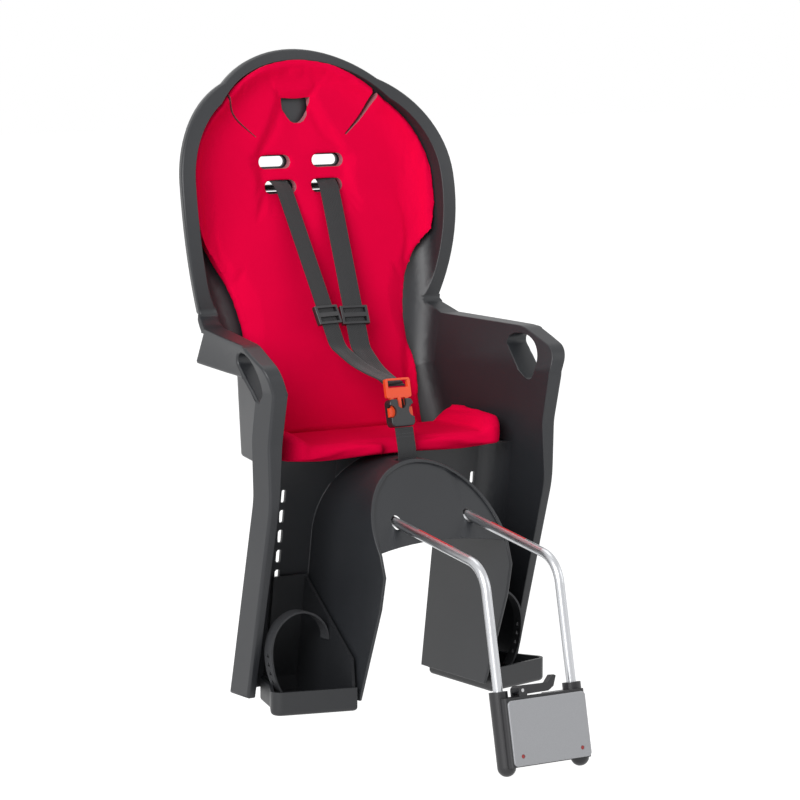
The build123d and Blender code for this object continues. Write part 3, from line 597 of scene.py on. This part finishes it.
def even_run(run, step):
    """Points at even steps along a path."""
    lengths = np.cumsum([0.0] + [(b - a).length for a, b in zip(run, run[1:])])
    count = max(2, round(lengths[-1] / step) + 1)
    stations = np.linspace(0, lengths[-1], count)
    flat = np.array([list(p) for p in run])
    return [Vector([np.interp(s, lengths, flat[:, k]) for k in range(3)]) for s in stations]


def ribbon(name, points, across, wide, thick, material, step=0.003):
    """A woven strap: a flat section with soft edges swept along a path."""
    run = even_run(smooth_run(points), step)
    shares = (-0.5, -0.48, -0.42, -0.2, 0.0, 0.2, 0.42, 0.48, 0.5)
    fat = (0.35, 0.8, 1.0, 1.0, 1.0, 1.0, 1.0, 0.8, 0.35)
    section = list(zip(shares, fat))
    section += [(a, -f) for a, f in zip(reversed(shares), reversed(fat))]
    mesh = bmesh.new()
    weave = mesh.loops.layers.uv.new("weave")
    rings = []
    lengths = []
    far = 0.0
    for k, at in enumerate(run):
        ahead = (run[min(k + 1, len(run) - 1)] - run[max(k - 1, 0)]).normalized()
        side = (Vector(across) - ahead * ahead.dot(Vector(across))).normalized()
        out = side.cross(ahead)
        if k:
            far += (at - run[k - 1]).length
        spots = [at + side * (a * wide) + out * (f * thick / 2) for a, f in section]
        rings.append([mesh.verts.new(p) for p in spots])
        lengths.append(far)
    size = len(section)
    for k in range(len(rings) - 1):
        for i in range(size):
            j = (i + 1) % size
            corners = ((k, i), (k, j), (k + 1, j), (k + 1, i))
            face = mesh.faces.new([rings[r][c] for r, c in corners])
            face.smooth = True
            for loop, (r, c) in zip(face.loops, corners):
                loop[weave].uv = (section[c][0] * wide, lengths[r])
    mesh.faces.new(list(reversed(rings[0])))
    mesh.faces.new(rings[-1])
    bmesh.ops.recalc_face_normals(mesh, faces=mesh.faces)
    data = bpy.data.meshes.new(name)
    mesh.to_mesh(data)
    mesh.free()
    return new_piece(name, data, material)


def prism(mesh, outline, near, far):
    """A closed prism through the pad along Y from an outline in X and Z."""
    front = [mesh.verts.new((x, near, z)) for x, z in outline]
    rear = [mesh.verts.new((x, far, z)) for x, z in outline]
    count = len(outline)
    mesh.faces.new(front)
    mesh.faces.new(list(reversed(rear)))
    for i in range(count):
        j = (i + 1) % count
        mesh.faces.new((front[j], front[i], rear[i], rear[j]))


def oval(centre, long, tall, count=16):
    """A slot with round ends."""
    half = (long - tall) / 2
    outline = []
    for side in (1, -1):
        for k in range(count + 1):
            turn = pi * k / count - pi / 2
            x = side * (half + tall / 2 * cos(turn))
            outline.append((centre[0] + x, centre[1] + side * tall / 2 * sin(turn)))
    return outline


def shield(half, top, tall):
    """The pointed cut-out in the head lobe."""
    right = [(half, top), (half * 0.97, top - tall * 0.2), (half * 0.85, top - tall * 0.48)]
    right += [(half * 0.68, top - tall * 0.74), (half * 0.45, top - tall * 0.92)]
    right += [(half * 0.22, top - tall * 0.99)]
    arch = [(0, top - SHIELD_ARCH)]
    return arch + right + [(-x, z) for x, z in reversed(right)]


def slit(side, wide):
    """A tapering curved cut from the notch towards the middle of the pad."""
    bends = [(0.121, 0.739), (0.112, 0.718), (0.105, 0.700), (0.095, 0.679), (0.066, 0.655)]
    run = even_run(smooth_run([(side * x, 0, z) for x, z in bends]), 0.006)
    left, right = [], []
    for k, at in enumerate(run):
        ahead = (run[min(k + 1, len(run) - 1)] - run[max(k - 1, 0)]).normalized()
        aside = Vector((ahead.z, 0, -ahead.x))
        half = wide / 2 * (1 - 0.8 * k / (len(run) - 1))
        left.append(at + aside * half)
        right.append(at - aside * half)
    return [(p.x, p.z) for p in left + list(reversed(right))]


def waist(side):
    """What the back pad leaves bare beside the waist, below the wing."""
    line = [(0.122, 0.25), (0.122, 0.36), (0.119, 0.40), (0.120, 0.43), (0.125, 0.456)]
    line += [(0.133, 0.478), (0.145, 0.499), (0.157, 0.5215), (0.167, 0.544), (0.176, 0.5695)]
    line += [(0.184, 0.5945), (0.26, 0.60), (0.26, 0.25)]
    return [(side * x, z) for x, z in line]


def cutter(outlines, *materials):
    """A tool that cuts outlines in X and Z through the back pad."""
    mesh = bmesh.new()
    for outline in outlines:
        prism(mesh, outline, CUT_FROM_Y, CUT_TO_Y)
    bmesh.ops.recalc_face_normals(mesh, faces=mesh.faces)
    data = bpy.data.meshes.new("pad_cutter")
    mesh.to_mesh(data)
    mesh.free()
    return new_piece("pad_cutter", data, *materials)


def foam_skin(node, name, cell, trim):
    """The skin of a foam solid in even cells, less what the trim outlines take away."""
    data = frame["nodes"][node].data.copy()
    data.materials.clear()
    mesh = bmesh.new()
    mesh.from_mesh(data)
    bmesh.ops.remove_doubles(mesh, verts=mesh.verts, dist=1e-5)
    mesh.to_mesh(data)
    mesh.free()
    piece = new_piece(name, data)
    if trim:
        cut_out(piece, cutter(trim))
    remesh = piece.modifiers.new("cells", "REMESH")
    remesh.mode = "VOXEL"
    remesh.voxel_size = cell
    soften = piece.modifiers.new("soften", "SMOOTH")
    soften.factor = 0.5
    soften.iterations = 16
    return baked(piece)


def nearest_shell(points):
    """The shell's nearest spot to each point, and how far off it is."""
    mesh = frame["nodes"]["seat_shell"].data
    corners = [vertex.co for vertex in mesh.vertices]
    skin = BVHTree.FromPolygons(corners, [face.vertices for face in mesh.polygons])
    found = [skin.find_nearest(Vector(p)) for p in points]
    return np.array([list(hit[0]) for hit in found]), np.array([hit[3] for hit in found])


def thinned(mesh, rest, wall, clear, behind, taper):
    """Marks the painted highlight line along the pad's front edge and thins the pad towards it above
    the waist.
    """
    # Painted highlight: points near the front edge that lie close to the shell are marked for a pale
    # line, stored as the rim attribute
    line = np.clip(1 - behind / PAD_EDGE_HIGHLIGHT, 0, 1) * np.clip(1.6 - clear / 0.003, 0, 1)
    edge = mesh.attributes.new("rim", "FLOAT", "POINT")
    edge.data.foreach_set("value", line.astype(np.float32))
    share = np.clip(behind / taper, 0, 1)
    thin = 0.6 * np.clip((rest[:, 2] - WAIST_Z) / WAIST_BLEND, 0, 1)
    share = 1 - thin * (1 - share * share * (3 - 2 * share))
    return wall + (rest - wall) * share[:, None]


def blown(piece, rest, clear, settings):
    """The cover's points under the foam's pressure, held where it lies on the shell."""
    held = piece.vertex_groups.new(name="held")
    held.add([int(i) for i in np.nonzero(clear < PAD_HELD)[0]], 1.0, "REPLACE")
    cloth = piece.modifiers.new("blow", "CLOTH")
    cloth.settings.use_pressure = True
    cloth.settings.uniform_pressure_force = settings.pressure
    cloth.settings.effector_weights.gravity = 0.0
    cloth.settings.vertex_group_mass = "held"
    for step in range(1, CLOTH_FRAMES + 1):
        bpy.context.scene.frame_set(step)
    graph = bpy.context.evaluated_depsgraph_get()
    swollen = points_of(piece.evaluated_get(graph).data)
    piece.modifiers.clear()
    bpy.context.scene.frame_set(1)
    move = swollen - rest
    reach = np.linalg.norm(move, axis=1, keepdims=True)
    move *= np.minimum(1.0, settings.swell / np.maximum(reach, 1e-9))
    return rest + move


def inflated(node, name, settings, material, depth=None, trim=()):
    """A pad cover: the foam solid's skin, thinned towards its front edge and blown up."""
    piece = foam_skin(node, name, settings.voxel, trim)
    mesh = piece.data
    rest = points_of(mesh)
    wall, clear = nearest_shell(rest)
    if depth is not None:
        rest = thinned(mesh, rest, wall, clear, depth(rest), settings.taper)
        put_points(mesh, rest)
    put_points(mesh, blown(piece, rest, clear, settings))
    settle = piece.modifiers.new("settle", "SMOOTH")
    settle.factor = 0.5
    settle.iterations = 3
    fine = piece.modifiers.new("fine", "SUBSURF")
    fine.levels = 1
    fine.render_levels = 1
    baked(piece)
    piece.data.materials.clear()
    piece.data.materials.append(material)
    piece.vertex_groups.clear()
    piece.data.shade_smooth()
    return piece


def cut_out(piece, tool):
    """Takes the tool out of the piece and deletes the tool."""
    boolean = piece.modifiers.new("cut", "BOOLEAN")
    boolean.operation = "DIFFERENCE"
    boolean.solver = "EXACT"
    boolean.object = tool
    boolean.material_mode = "TRANSFER"
    baked(piece)
    tool_mesh = tool.data
    bpy.data.objects.remove(tool)
    bpy.data.meshes.remove(tool_mesh)
    piece.data.set_sharp_from_angle(angle=radians(50))
    return piece


def on_rim(edge):
    """True for an outer corner of the rolled rim: one face looks ahead or up, the other outwards."""
    middle = (edge.verts[0].co + edge.verts[1].co) / 2
    outwards = Vector((middle.x, 0, max(0.0, middle.z - WING_Z)))
    inner = abs(middle.x) < RIM_INNER_X and middle.z < RIM_CROWN_Z
    if inner or outwards.length < 0.05 or not edge.is_convex:
        return False
    outwards.normalize()
    front, flank = sorted((face.normal for face in edge.link_faces), key=outwards.dot)
    leans = flank.dot(outwards) > 0.45 and abs(front.dot(outwards)) < 0.7
    return leans and front.y < 0.3 and middle.y < RIM_BACK_Y


def folded(mesh, skin, radius):
    """Where a bevel turned a face over or threw it off the old surface."""
    mesh.normal_update()
    spots = []
    for face in mesh.faces:
        middle = face.calc_center_median()
        _, normal, _, far = skin.find_nearest(middle)
        turned = face.normal.dot(normal) < -0.1 and face.calc_area() > 1e-9
        if turned or far > 0.7 * radius:
            spots.append(middle)
    return spots


def rounded(mesh, wanted, radius, segments, sharp=40.0, trials=4):
    """Bevels the sharp edges that are wanted, except where a trial bevel folds a face over."""
    skin = BVHTree.FromBMesh(mesh)
    crowded = []
    for trial in range(trials):
        near = KDTree(max(1, len(crowded)))
        for k, spot in enumerate(crowded):
            near.insert(spot, k)
        near.balance()
        attempt = mesh.copy()
        edges = []
        for edge in attempt.edges:
            if len(edge.link_faces) == 2 and edge.calc_face_angle() > radians(sharp) and wanted(edge):
                middle = (edge.verts[0].co + edge.verts[1].co) / 2
                if not near.find_range(middle, 1.6 * radius):
                    edges.append(edge)
        bmesh.ops.bevel(
            attempt,
            geom=edges,
            offset=radius,
            offset_type="OFFSET",
            segments=segments,
            profile=0.5,
            affect="EDGES",
            clamp_overlap=False,
        )
        crowded += folded(attempt, skin, radius)
        if trial < trials - 1:
            attempt.free()
    mesh.free()
    for vert in attempt.verts:
        spot, _, _, far = skin.find_nearest(vert.co)
        if far > 0.6 * radius:
            vert.co = spot
    return attempt


def softened(node, name, material, rim, edge):
    """A moulding with the solid's form, whose rim and edges are rounded."""
    mesh = bmesh.new()
    mesh.from_mesh(frame["nodes"][node].data)
    bmesh.ops.remove_doubles(mesh, verts=mesh.verts, dist=1e-6)
    bmesh.ops.dissolve_limit(mesh, angle_limit=radians(0.5), verts=mesh.verts, edges=mesh.edges)
    mesh = rounded(mesh, on_rim, rim, 5)
    mesh = rounded(mesh, lambda e: e.calc_length() > edge, edge, 2)
    data = bpy.data.meshes.new(name)
    mesh.to_mesh(data)
    mesh.free()
    piece = new_piece(name, data, material)
    data.shade_smooth()
    data.set_sharp_from_angle(angle=radians(38))
    even = piece.modifiers.new("even", "WEIGHTED_NORMAL")
    even.keep_sharp = True
    even.weight = 100
    split = piece.modifiers.new("split", "TRIANGULATE")
    split.min_vertices = 5
    split.keep_custom_normals = True
    return baked(piece)


# Repeats


def row_tree(name, material):
    """Stitches: small rounded beads at even steps along a path."""
    tree = bpy.data.node_groups.new(name, "GeometryNodeTree")
    face = tree.interface
    face.new_socket("Geometry", in_out="INPUT", socket_type="NodeSocketGeometry")
    for title in ("Spacing", "Length", "Width", "Height"):
        face.new_socket(title, in_out="INPUT", socket_type="NodeSocketFloat")
    face.new_socket("Geometry", in_out="OUTPUT", socket_type="NodeSocketGeometry")

    def add(kind, settings=None, **values):
        node = tree.nodes.new(kind)
        for title, value in (settings or {}).items():
            setattr(node, title, value)
        for title, value in values.items():
            socket = node.inputs[title.replace("_", " ")]
            if isinstance(value, bpy.types.NodeSocket):
                tree.links.new(value, socket)
            else:
                socket.default_value = value
        return node

    given = add("NodeGroupInput").outputs
    path = add("GeometryNodeMeshToCurve", Mesh=given["Geometry"])
    steps = add(
        "GeometryNodeResampleCurve",
        {"mode": "LENGTH"},
        Curve=path.outputs["Curve"],
        Length=given["Spacing"],
    )
    bead = add("GeometryNodeMeshUVSphere", Segments=8, Rings=5, Radius=0.5)
    shape = add("ShaderNodeCombineXYZ", X=given["Length"], Y=given["Width"], Z=given["Height"])
    ahead = add("GeometryNodeInputTangent")
    up = add("GeometryNodeInputNamedAttribute", {"data_type": "FLOAT_VECTOR"}, Name="up")
    turn = add("FunctionNodeAxesToRotation", Primary_Axis=ahead.outputs[0])
    turn.primary_axis = "X"
    turn.secondary_axis = "Z"
    tree.links.new(up.outputs["Attribute"], turn.inputs["Secondary Axis"])
    row = add(
        "GeometryNodeInstanceOnPoints",
        Points=steps.outputs["Curve"],
        Instance=bead.outputs["Mesh"],
        Rotation=turn.outputs[0],
        Scale=shape.outputs[0],
    )
    solid = add("GeometryNodeRealizeInstances", Geometry=row.outputs["Instances"])
    coat = add("GeometryNodeSetMaterial", Geometry=solid.outputs["Geometry"], Material=material)
    result = tree.nodes.new("NodeGroupOutput")
    tree.links.new(coat.outputs["Geometry"], result.inputs[0])
    return tree


def bead_row(name, runs, tree, spacing, length, width, height):
    """Paths with their up vectors, turned into one mesh of beads by the tree."""
    mesh = bmesh.new()
    ups = []
    for path in runs:
        last = None
        for at, up in path:
            vert = mesh.verts.new(at)
            ups.append(up)
            if last:
                mesh.edges.new((last, vert))
            last = vert
    data = bpy.data.meshes.new(name)
    mesh.to_mesh(data)
    mesh.free()
    stored = data.attributes.new("up", "FLOAT_VECTOR", "POINT")
    stored.data.foreach_set("vector", np.array([list(u) for u in ups], np.float32).ravel())
    piece = new_piece(name, data)
    modifier = piece.modifiers.new("row", "NODES")
    modifier.node_group = tree
    sizes = {"Spacing": spacing, "Length": length, "Width": width, "Height": height}
    for item in tree.interface.items_tree:
        if item.in_out == "INPUT" and item.name in sizes:
            modifier[item.identifier] = sizes[item.name]
    baked(piece)
    piece.data.shade_smooth()
    return piece


def cross_rows(points, across, wide, thick, spots, toward=Vector((-0.4, -0.8, 0.45))):
    """Rows across a strap's outer face, each at a distance from the strap's far end."""
    step = 0.0005
    run = even_run(smooth_run(points), step)
    rows = []
    for spot in spots:
        k = len(run) - 1 - max(1, round(spot / step))
        ahead = (run[k + 1] - run[k - 1]).normalized()
        side = (Vector(across) - ahead * ahead.dot(Vector(across))).normalized()
        out = side.cross(ahead)
        if out.dot(toward) < 0:
            out.negate()
        face = run[k] + out * (thick / 2)
        rows.append([(face + side * (wide * share), out) for share in (-0.4, 0.0, 0.4)])
    return rows


# Operators


class BIKESEAT_OT_shell(bpy.types.Operator):
    """Rounds the moulded shell's rim and edges and gives it a satin grained finish"""

    bl_idname = "bike_seat.shell"
    bl_label = "Finish the shell"

    def execute(self, context):
        look = context.scene.bike_seat.shell
        finish = moulded_finish("shell_satin", look.colour, look.roughness)
        shell = softened("seat_shell", "shell_moulding", finish, look.rim, look.edge)
        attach(shell, "seat")
        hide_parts("seat_shell")
        return {"FINISHED"}


class BIKESEAT_OT_pads(bpy.types.Operator):
    """Inflates the foam pads in their knitted covers and cuts their slots and slits"""

    bl_idname = "bike_seat.pads"
    bl_label = "Make the pads"

    def execute(self, context):
        look = context.scene.bike_seat.pads
        knit = knit_finish("pad_knit", look.colour, look.foam)
        foam = foam_finish("pad_foam", look.foam)

        def behind_edge(points):
            return points[:, 1] - pad_edge_y(points[:, 2])

        sides = [waist(side) for side in (1, -1)]
        back = inflated("back_pad", "back_pad_cover", look, knit, depth=behind_edge, trim=sides)
        outlines = [shield(SHIELD_HALF, SHIELD_TOP, SHIELD_TALL)]
        for side, share in ((1, 1.0), (-1, 0.5)):
            for x, z in (UPPER_SLOT, LOWER_SLOT):
                outlines.append(oval((side * x, z), SLOT_LONG + SLOT_MARGIN, SLOT_TALL + SLOT_MARGIN))
            outlines.append(slit(side, look.slit * share))
        cut_out(back, cutter(outlines, foam))
        seat = inflated("seat_pad", "seat_pad_cover", look, knit)
        for piece, node in ((back, "back_pad"), (seat, "seat_pad")):
            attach(piece, "seat")
            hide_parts(node)
        return {"FINISHED"}


class BIKESEAT_OT_harness(bpy.types.Operator):
    """Weaves the shoulder and crotch straps and finishes their buckle and sliders"""

    bl_idname = "bike_seat.harness"
    bl_label = "Make the harness"

    def execute(self, context):
        look = context.scene.bike_seat.harness
        weave = webbing_finish("harness_webbing", look.colour)
        thread = rubber_finish("harness_thread", (0.055, 0.055, 0.06))
        stitches = row_tree("stitch_row", thread)
        rows = []
        half_run = hypot(LOWER_SLOT[0], STRAP_START_Y - STRAP_END_Y)
        for name, side in (("left", -1), ("right", 1)):
            ahead = Vector((-side * LOWER_SLOT[0], STRAP_END_Y - STRAP_START_Y, 0)) / half_run
            across = Vector((ahead.y, -ahead.x, 0))
            start = Vector((side * LOWER_SLOT[0], STRAP_START_Y, 0))
            drop = 0.0 if side < 0 else STRAP_STACK
            bends = (
                (-0.015, 0.6035),
                (-0.006, 0.5985),
                (0.004, 0.5915),
                (0.0125, 0.5765),
                (0.020, 0.5625),
                (0.0985 - drop / 2, 0.4142 - drop),
                (0.106 - drop / 2, 0.400 - drop),
                (0.120 - drop / 2, 0.393 - drop),
                (0.150 - drop / 2, 0.378 - drop),
                (half_run, 0.3645 - drop),
            )
            path = [start + ahead * a + Vector((0, 0, z)) for a, z in bends]
            strap = ribbon("webbing_" + name, path, across, look.wide, look.thick, weave)
            rows += cross_rows(path, across, look.wide, look.thick, STITCH_SPOTS)
            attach(strap, "seat")
            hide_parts("shoulder_strap_" + name)
        bends = ((0.264, 0.2695), (0.264, 0.280), (0.264, 0.286), (0.267, 0.297), (0.2712, 0.3125))
        path = [Vector((0, y, z)) for y, z in bends]
        strap = ribbon("webbing_crotch", path, (1, 0, 0), look.wide, CROTCH_THICK, weave)
        rows += cross_rows(path, (1, 0, 0), look.wide, CROTCH_THICK, STITCH_SPOTS[:2])
        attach(strap, "seat")
        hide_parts("crotch_strap")
        stitch = (STITCH_LONG, STITCH_WIDE, STITCH_HIGH)
        seams = bead_row("harness_stitches", rows, stitches, look.stitch, *stitch)
        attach(seams, "seat")
        black = moulded_finish("buckle_moulding", (0.020, 0.020, 0.022), 0.38, 1500.0, 0.1, 0.3)
        dress(black, "strap_slider_left", "strap_slider_right", "buckle_housing")
        orange = moulded_finish("tongue_moulding", (0.83, 0.075, 0.018), 0.32, 1500.0, 0.06, 0.1)
        dress(orange, "buckle_tongue")
        return {"FINISHED"}


class BIKESEAT_OT_footrests(bpy.types.Operator):
    """Finishes the footrests and their rubber straps"""

    bl_idname = "bike_seat.footrests"
    bl_label = "Finish the footrests"

    def execute(self, context):
        tray = moulded_finish("footrest_moulding", (0.0125, 0.0135, 0.0155), 0.46)
        dress(tray, "footrest_left", "footrest_right")
        rubber = rubber_finish("foot_strap_rubber", (0.028, 0.029, 0.032))
        dress(rubber, "foot_strap_left", "foot_strap_right")
        return {"FINISHED"}


class BIKESEAT_OT_carrier(bpy.types.Operator):
    """Finishes the bent bow, its clamp and the frame bracket, and makes the latch coils"""

    bl_idname = "bike_seat.carrier"
    bl_label = "Finish the carrier"

    def execute(self, context):
        dress(rod_finish("bow_chrome", (0.58, 0.59, 0.61), (0.62, 0.015, 0.02)), "bow")
        zinc = plated_finish("zinc_plate", (0.56, 0.56, 0.57), 0.3)
        dress(
            zinc,
            "bow_clamp_plate",
            "bow_clamp_screws",
            "bracket_bolts",
            "bracket_nuts",
            "lever_pin",
            "latch_pin_left",
            "latch_pin_right",
        )
        for side, sign in (("left", -1), ("right", 1)):
            node = frame["nodes"]["latch_spring_" + side]
            data = node.data.copy()
            data.transform(node.matrix_world)
            data.materials.clear()
            coil = new_piece("latch_coil_" + side, data, zinc)
            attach(coil, "bracket")
            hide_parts(node.name)
            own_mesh(coil)
        nylon = moulded_finish("bracket_nylon", (0.014, 0.014, 0.016), 0.4, 1000.0, 0.12, 0.4)
        dress(nylon, "bracket_body", "bracket_jaw", "release_lever", "strap_anchor_bars")
        dress(painted_finish("cover_paint", (0.33, 0.335, 0.35)), "bracket_cover")
        dress(rubber_finish("liner_rubber", (0.02, 0.02, 0.021)), "jaw_liners")
        dress(lens_finish("window_red", (0.32, 0.008, 0.008)), "indicator_windows")
        return {"FINISHED"}


class BIKESEAT_OT_stage(bpy.types.Operator):
    """Builds the pale floor, the studio lights and the camera"""

    bl_idname = "bike_seat.stage"
    bl_label = "Build the stage"

    def lamp(self, name, power, size, at, aim):
        light = bpy.data.lights.new(name, "AREA")
        light.energy = power
        light.size = size
        lamp = bpy.data.objects.new(name, light)
        lamp.location = at
        lamp.rotation_euler = (Vector(aim) - Vector(at)).to_track_quat("-Z", "Y").to_euler()
        bpy.context.scene.collection.objects.link(lamp)

    def floor(self):
        """Pale paper under the seat, which glows where it is seen and keeps its shadow."""
        low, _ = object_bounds()
        mesh = bmesh.new()
        bmesh.ops.create_grid(mesh, x_segments=4, y_segments=4, size=FLOOR_HALF)
        data = bpy.data.meshes.new("studio_floor")
        mesh.to_mesh(data)
        mesh.free()
        data.transform(Matrix.Translation((0, 0, low.z - FLOOR_GAP)))
        paper = Finish("floor_paper", Roughness=0.9)
        fibre = paper.noise(paper.place(), 60.0, 2.0)
        paper.drive("Base Color", paper.mix(fibre, rgba((0.86, 0.86, 0.86)), rgba((0.9, 0.9, 0.9))))
        glow = paper.add("ShaderNodeEmission", None, {"Color": WHITE, "Strength": FLOOR_GLOW})
        surface = Wire(paper, paper.shader.outputs[0])
        paper.show("Material Output", surface, glow, paper.seen() * FLOOR_GLOW_SHARE)
        floor = new_piece("studio_floor", data, paper.material)
        floor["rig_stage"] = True

    def studio(self, around):
        """White where it is seen, with its own strength as a light."""
        world = bpy.data.worlds.new("studio")
        world.use_nodes = True
        sky = Shading(world.node_tree)
        lit = world.node_tree.nodes["Background"]
        lit.inputs["Color"].default_value = WHITE
        lit.inputs["Strength"].default_value = around
        white = sky.add("ShaderNodeBackground", None, {"Color": WHITE, "Strength": 1.0})
        sky.show("World Output", Wire(sky, lit.outputs[0]), white, sky.seen())
        return world

    def viewer(self, lens):
        camera = bpy.data.cameras.new("photo_camera")
        camera.lens = lens
        camera.sensor_width = SENSOR_WIDE
        camera.sensor_fit = "HORIZONTAL"
        camera.clip_start = 0.05
        camera.clip_end = 100.0
        viewer = bpy.data.objects.new("photo_camera", camera)
        viewer.location = CAMERA_AT
        viewer.rotation_euler = Vector(CAMERA_TOWARD).to_track_quat("-Z", "Y").to_euler()
        bpy.context.scene.collection.objects.link(viewer)
        return viewer

    def execute(self, context):
        scene = context.scene
        look = scene.bike_seat.stage
        scene.view_settings.view_transform = "Standard"
        self.floor()
        scene.world = self.studio(look.around)
        self.lamp("key_softbox", look.key, 2.4, at=(-3.0, -1.6, 2.0), aim=(0, 0.3, 0.4))
        self.lamp("fill_softbox", look.fill, 1.6, at=(2.4, -1.6, 1.5), aim=(0, 0.3, 0.35))
        self.lamp("top_softbox", look.fill * 0.8, 1.6, at=(0.2, 0.9, 2.6), aim=(0, 0.35, 0.4))
        scene.camera = self.viewer(look.lens)
        return {"FINISHED"}


class BIKESEAT_PT_panel(bpy.types.Panel):
    """Lists the steps that dress the seat"""

    bl_idname = "BIKESEAT_PT_panel"
    bl_label = "Child bike seat"
    bl_space_type = "VIEW_3D"
    bl_region_type = "UI"
    bl_category = "Bike seat"

    def draw(self, context):
        seat = context.scene.bike_seat
        for group in (seat.shell, seat.pads, seat.harness, seat.stage):
            box = self.layout.box()
            for name in group.bl_rna.properties.keys():
                if name not in {"rna_type", "name"}:
                    box.prop(group, name)
        for step in STEPS:
            self.layout.operator(step.bl_idname)


STEPS = (
    BIKESEAT_OT_shell,
    BIKESEAT_OT_pads,
    BIKESEAT_OT_harness,
    BIKESEAT_OT_footrests,
    BIKESEAT_OT_carrier,
    BIKESEAT_OT_stage,
)
CLASSES = (
    PadSettings,
    HarnessSettings,
    ShellSettings,
    StageSettings,
    SeatSettings,
    *STEPS,
    BIKESEAT_PT_panel,
)


def register():
    for entry in CLASSES:
        bpy.utils.register_class(entry)
    bpy.types.Scene.bike_seat = bpy.props.PointerProperty(type=SeatSettings)


def unregister():
    del bpy.types.Scene.bike_seat
    for entry in reversed(CLASSES):
        bpy.utils.unregister_class(entry)


def main():
    for item in list(bpy.data.objects):
        if item.name in {"Cube", "Light", "Camera"} and "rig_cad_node" not in item:
            bpy.data.objects.remove(item)
    register()
    for step in STEPS:
        group, name = step.bl_idname.split(".")
        getattr(getattr(bpy.ops, group), name)()


if __name__ == "__main__":
    main()
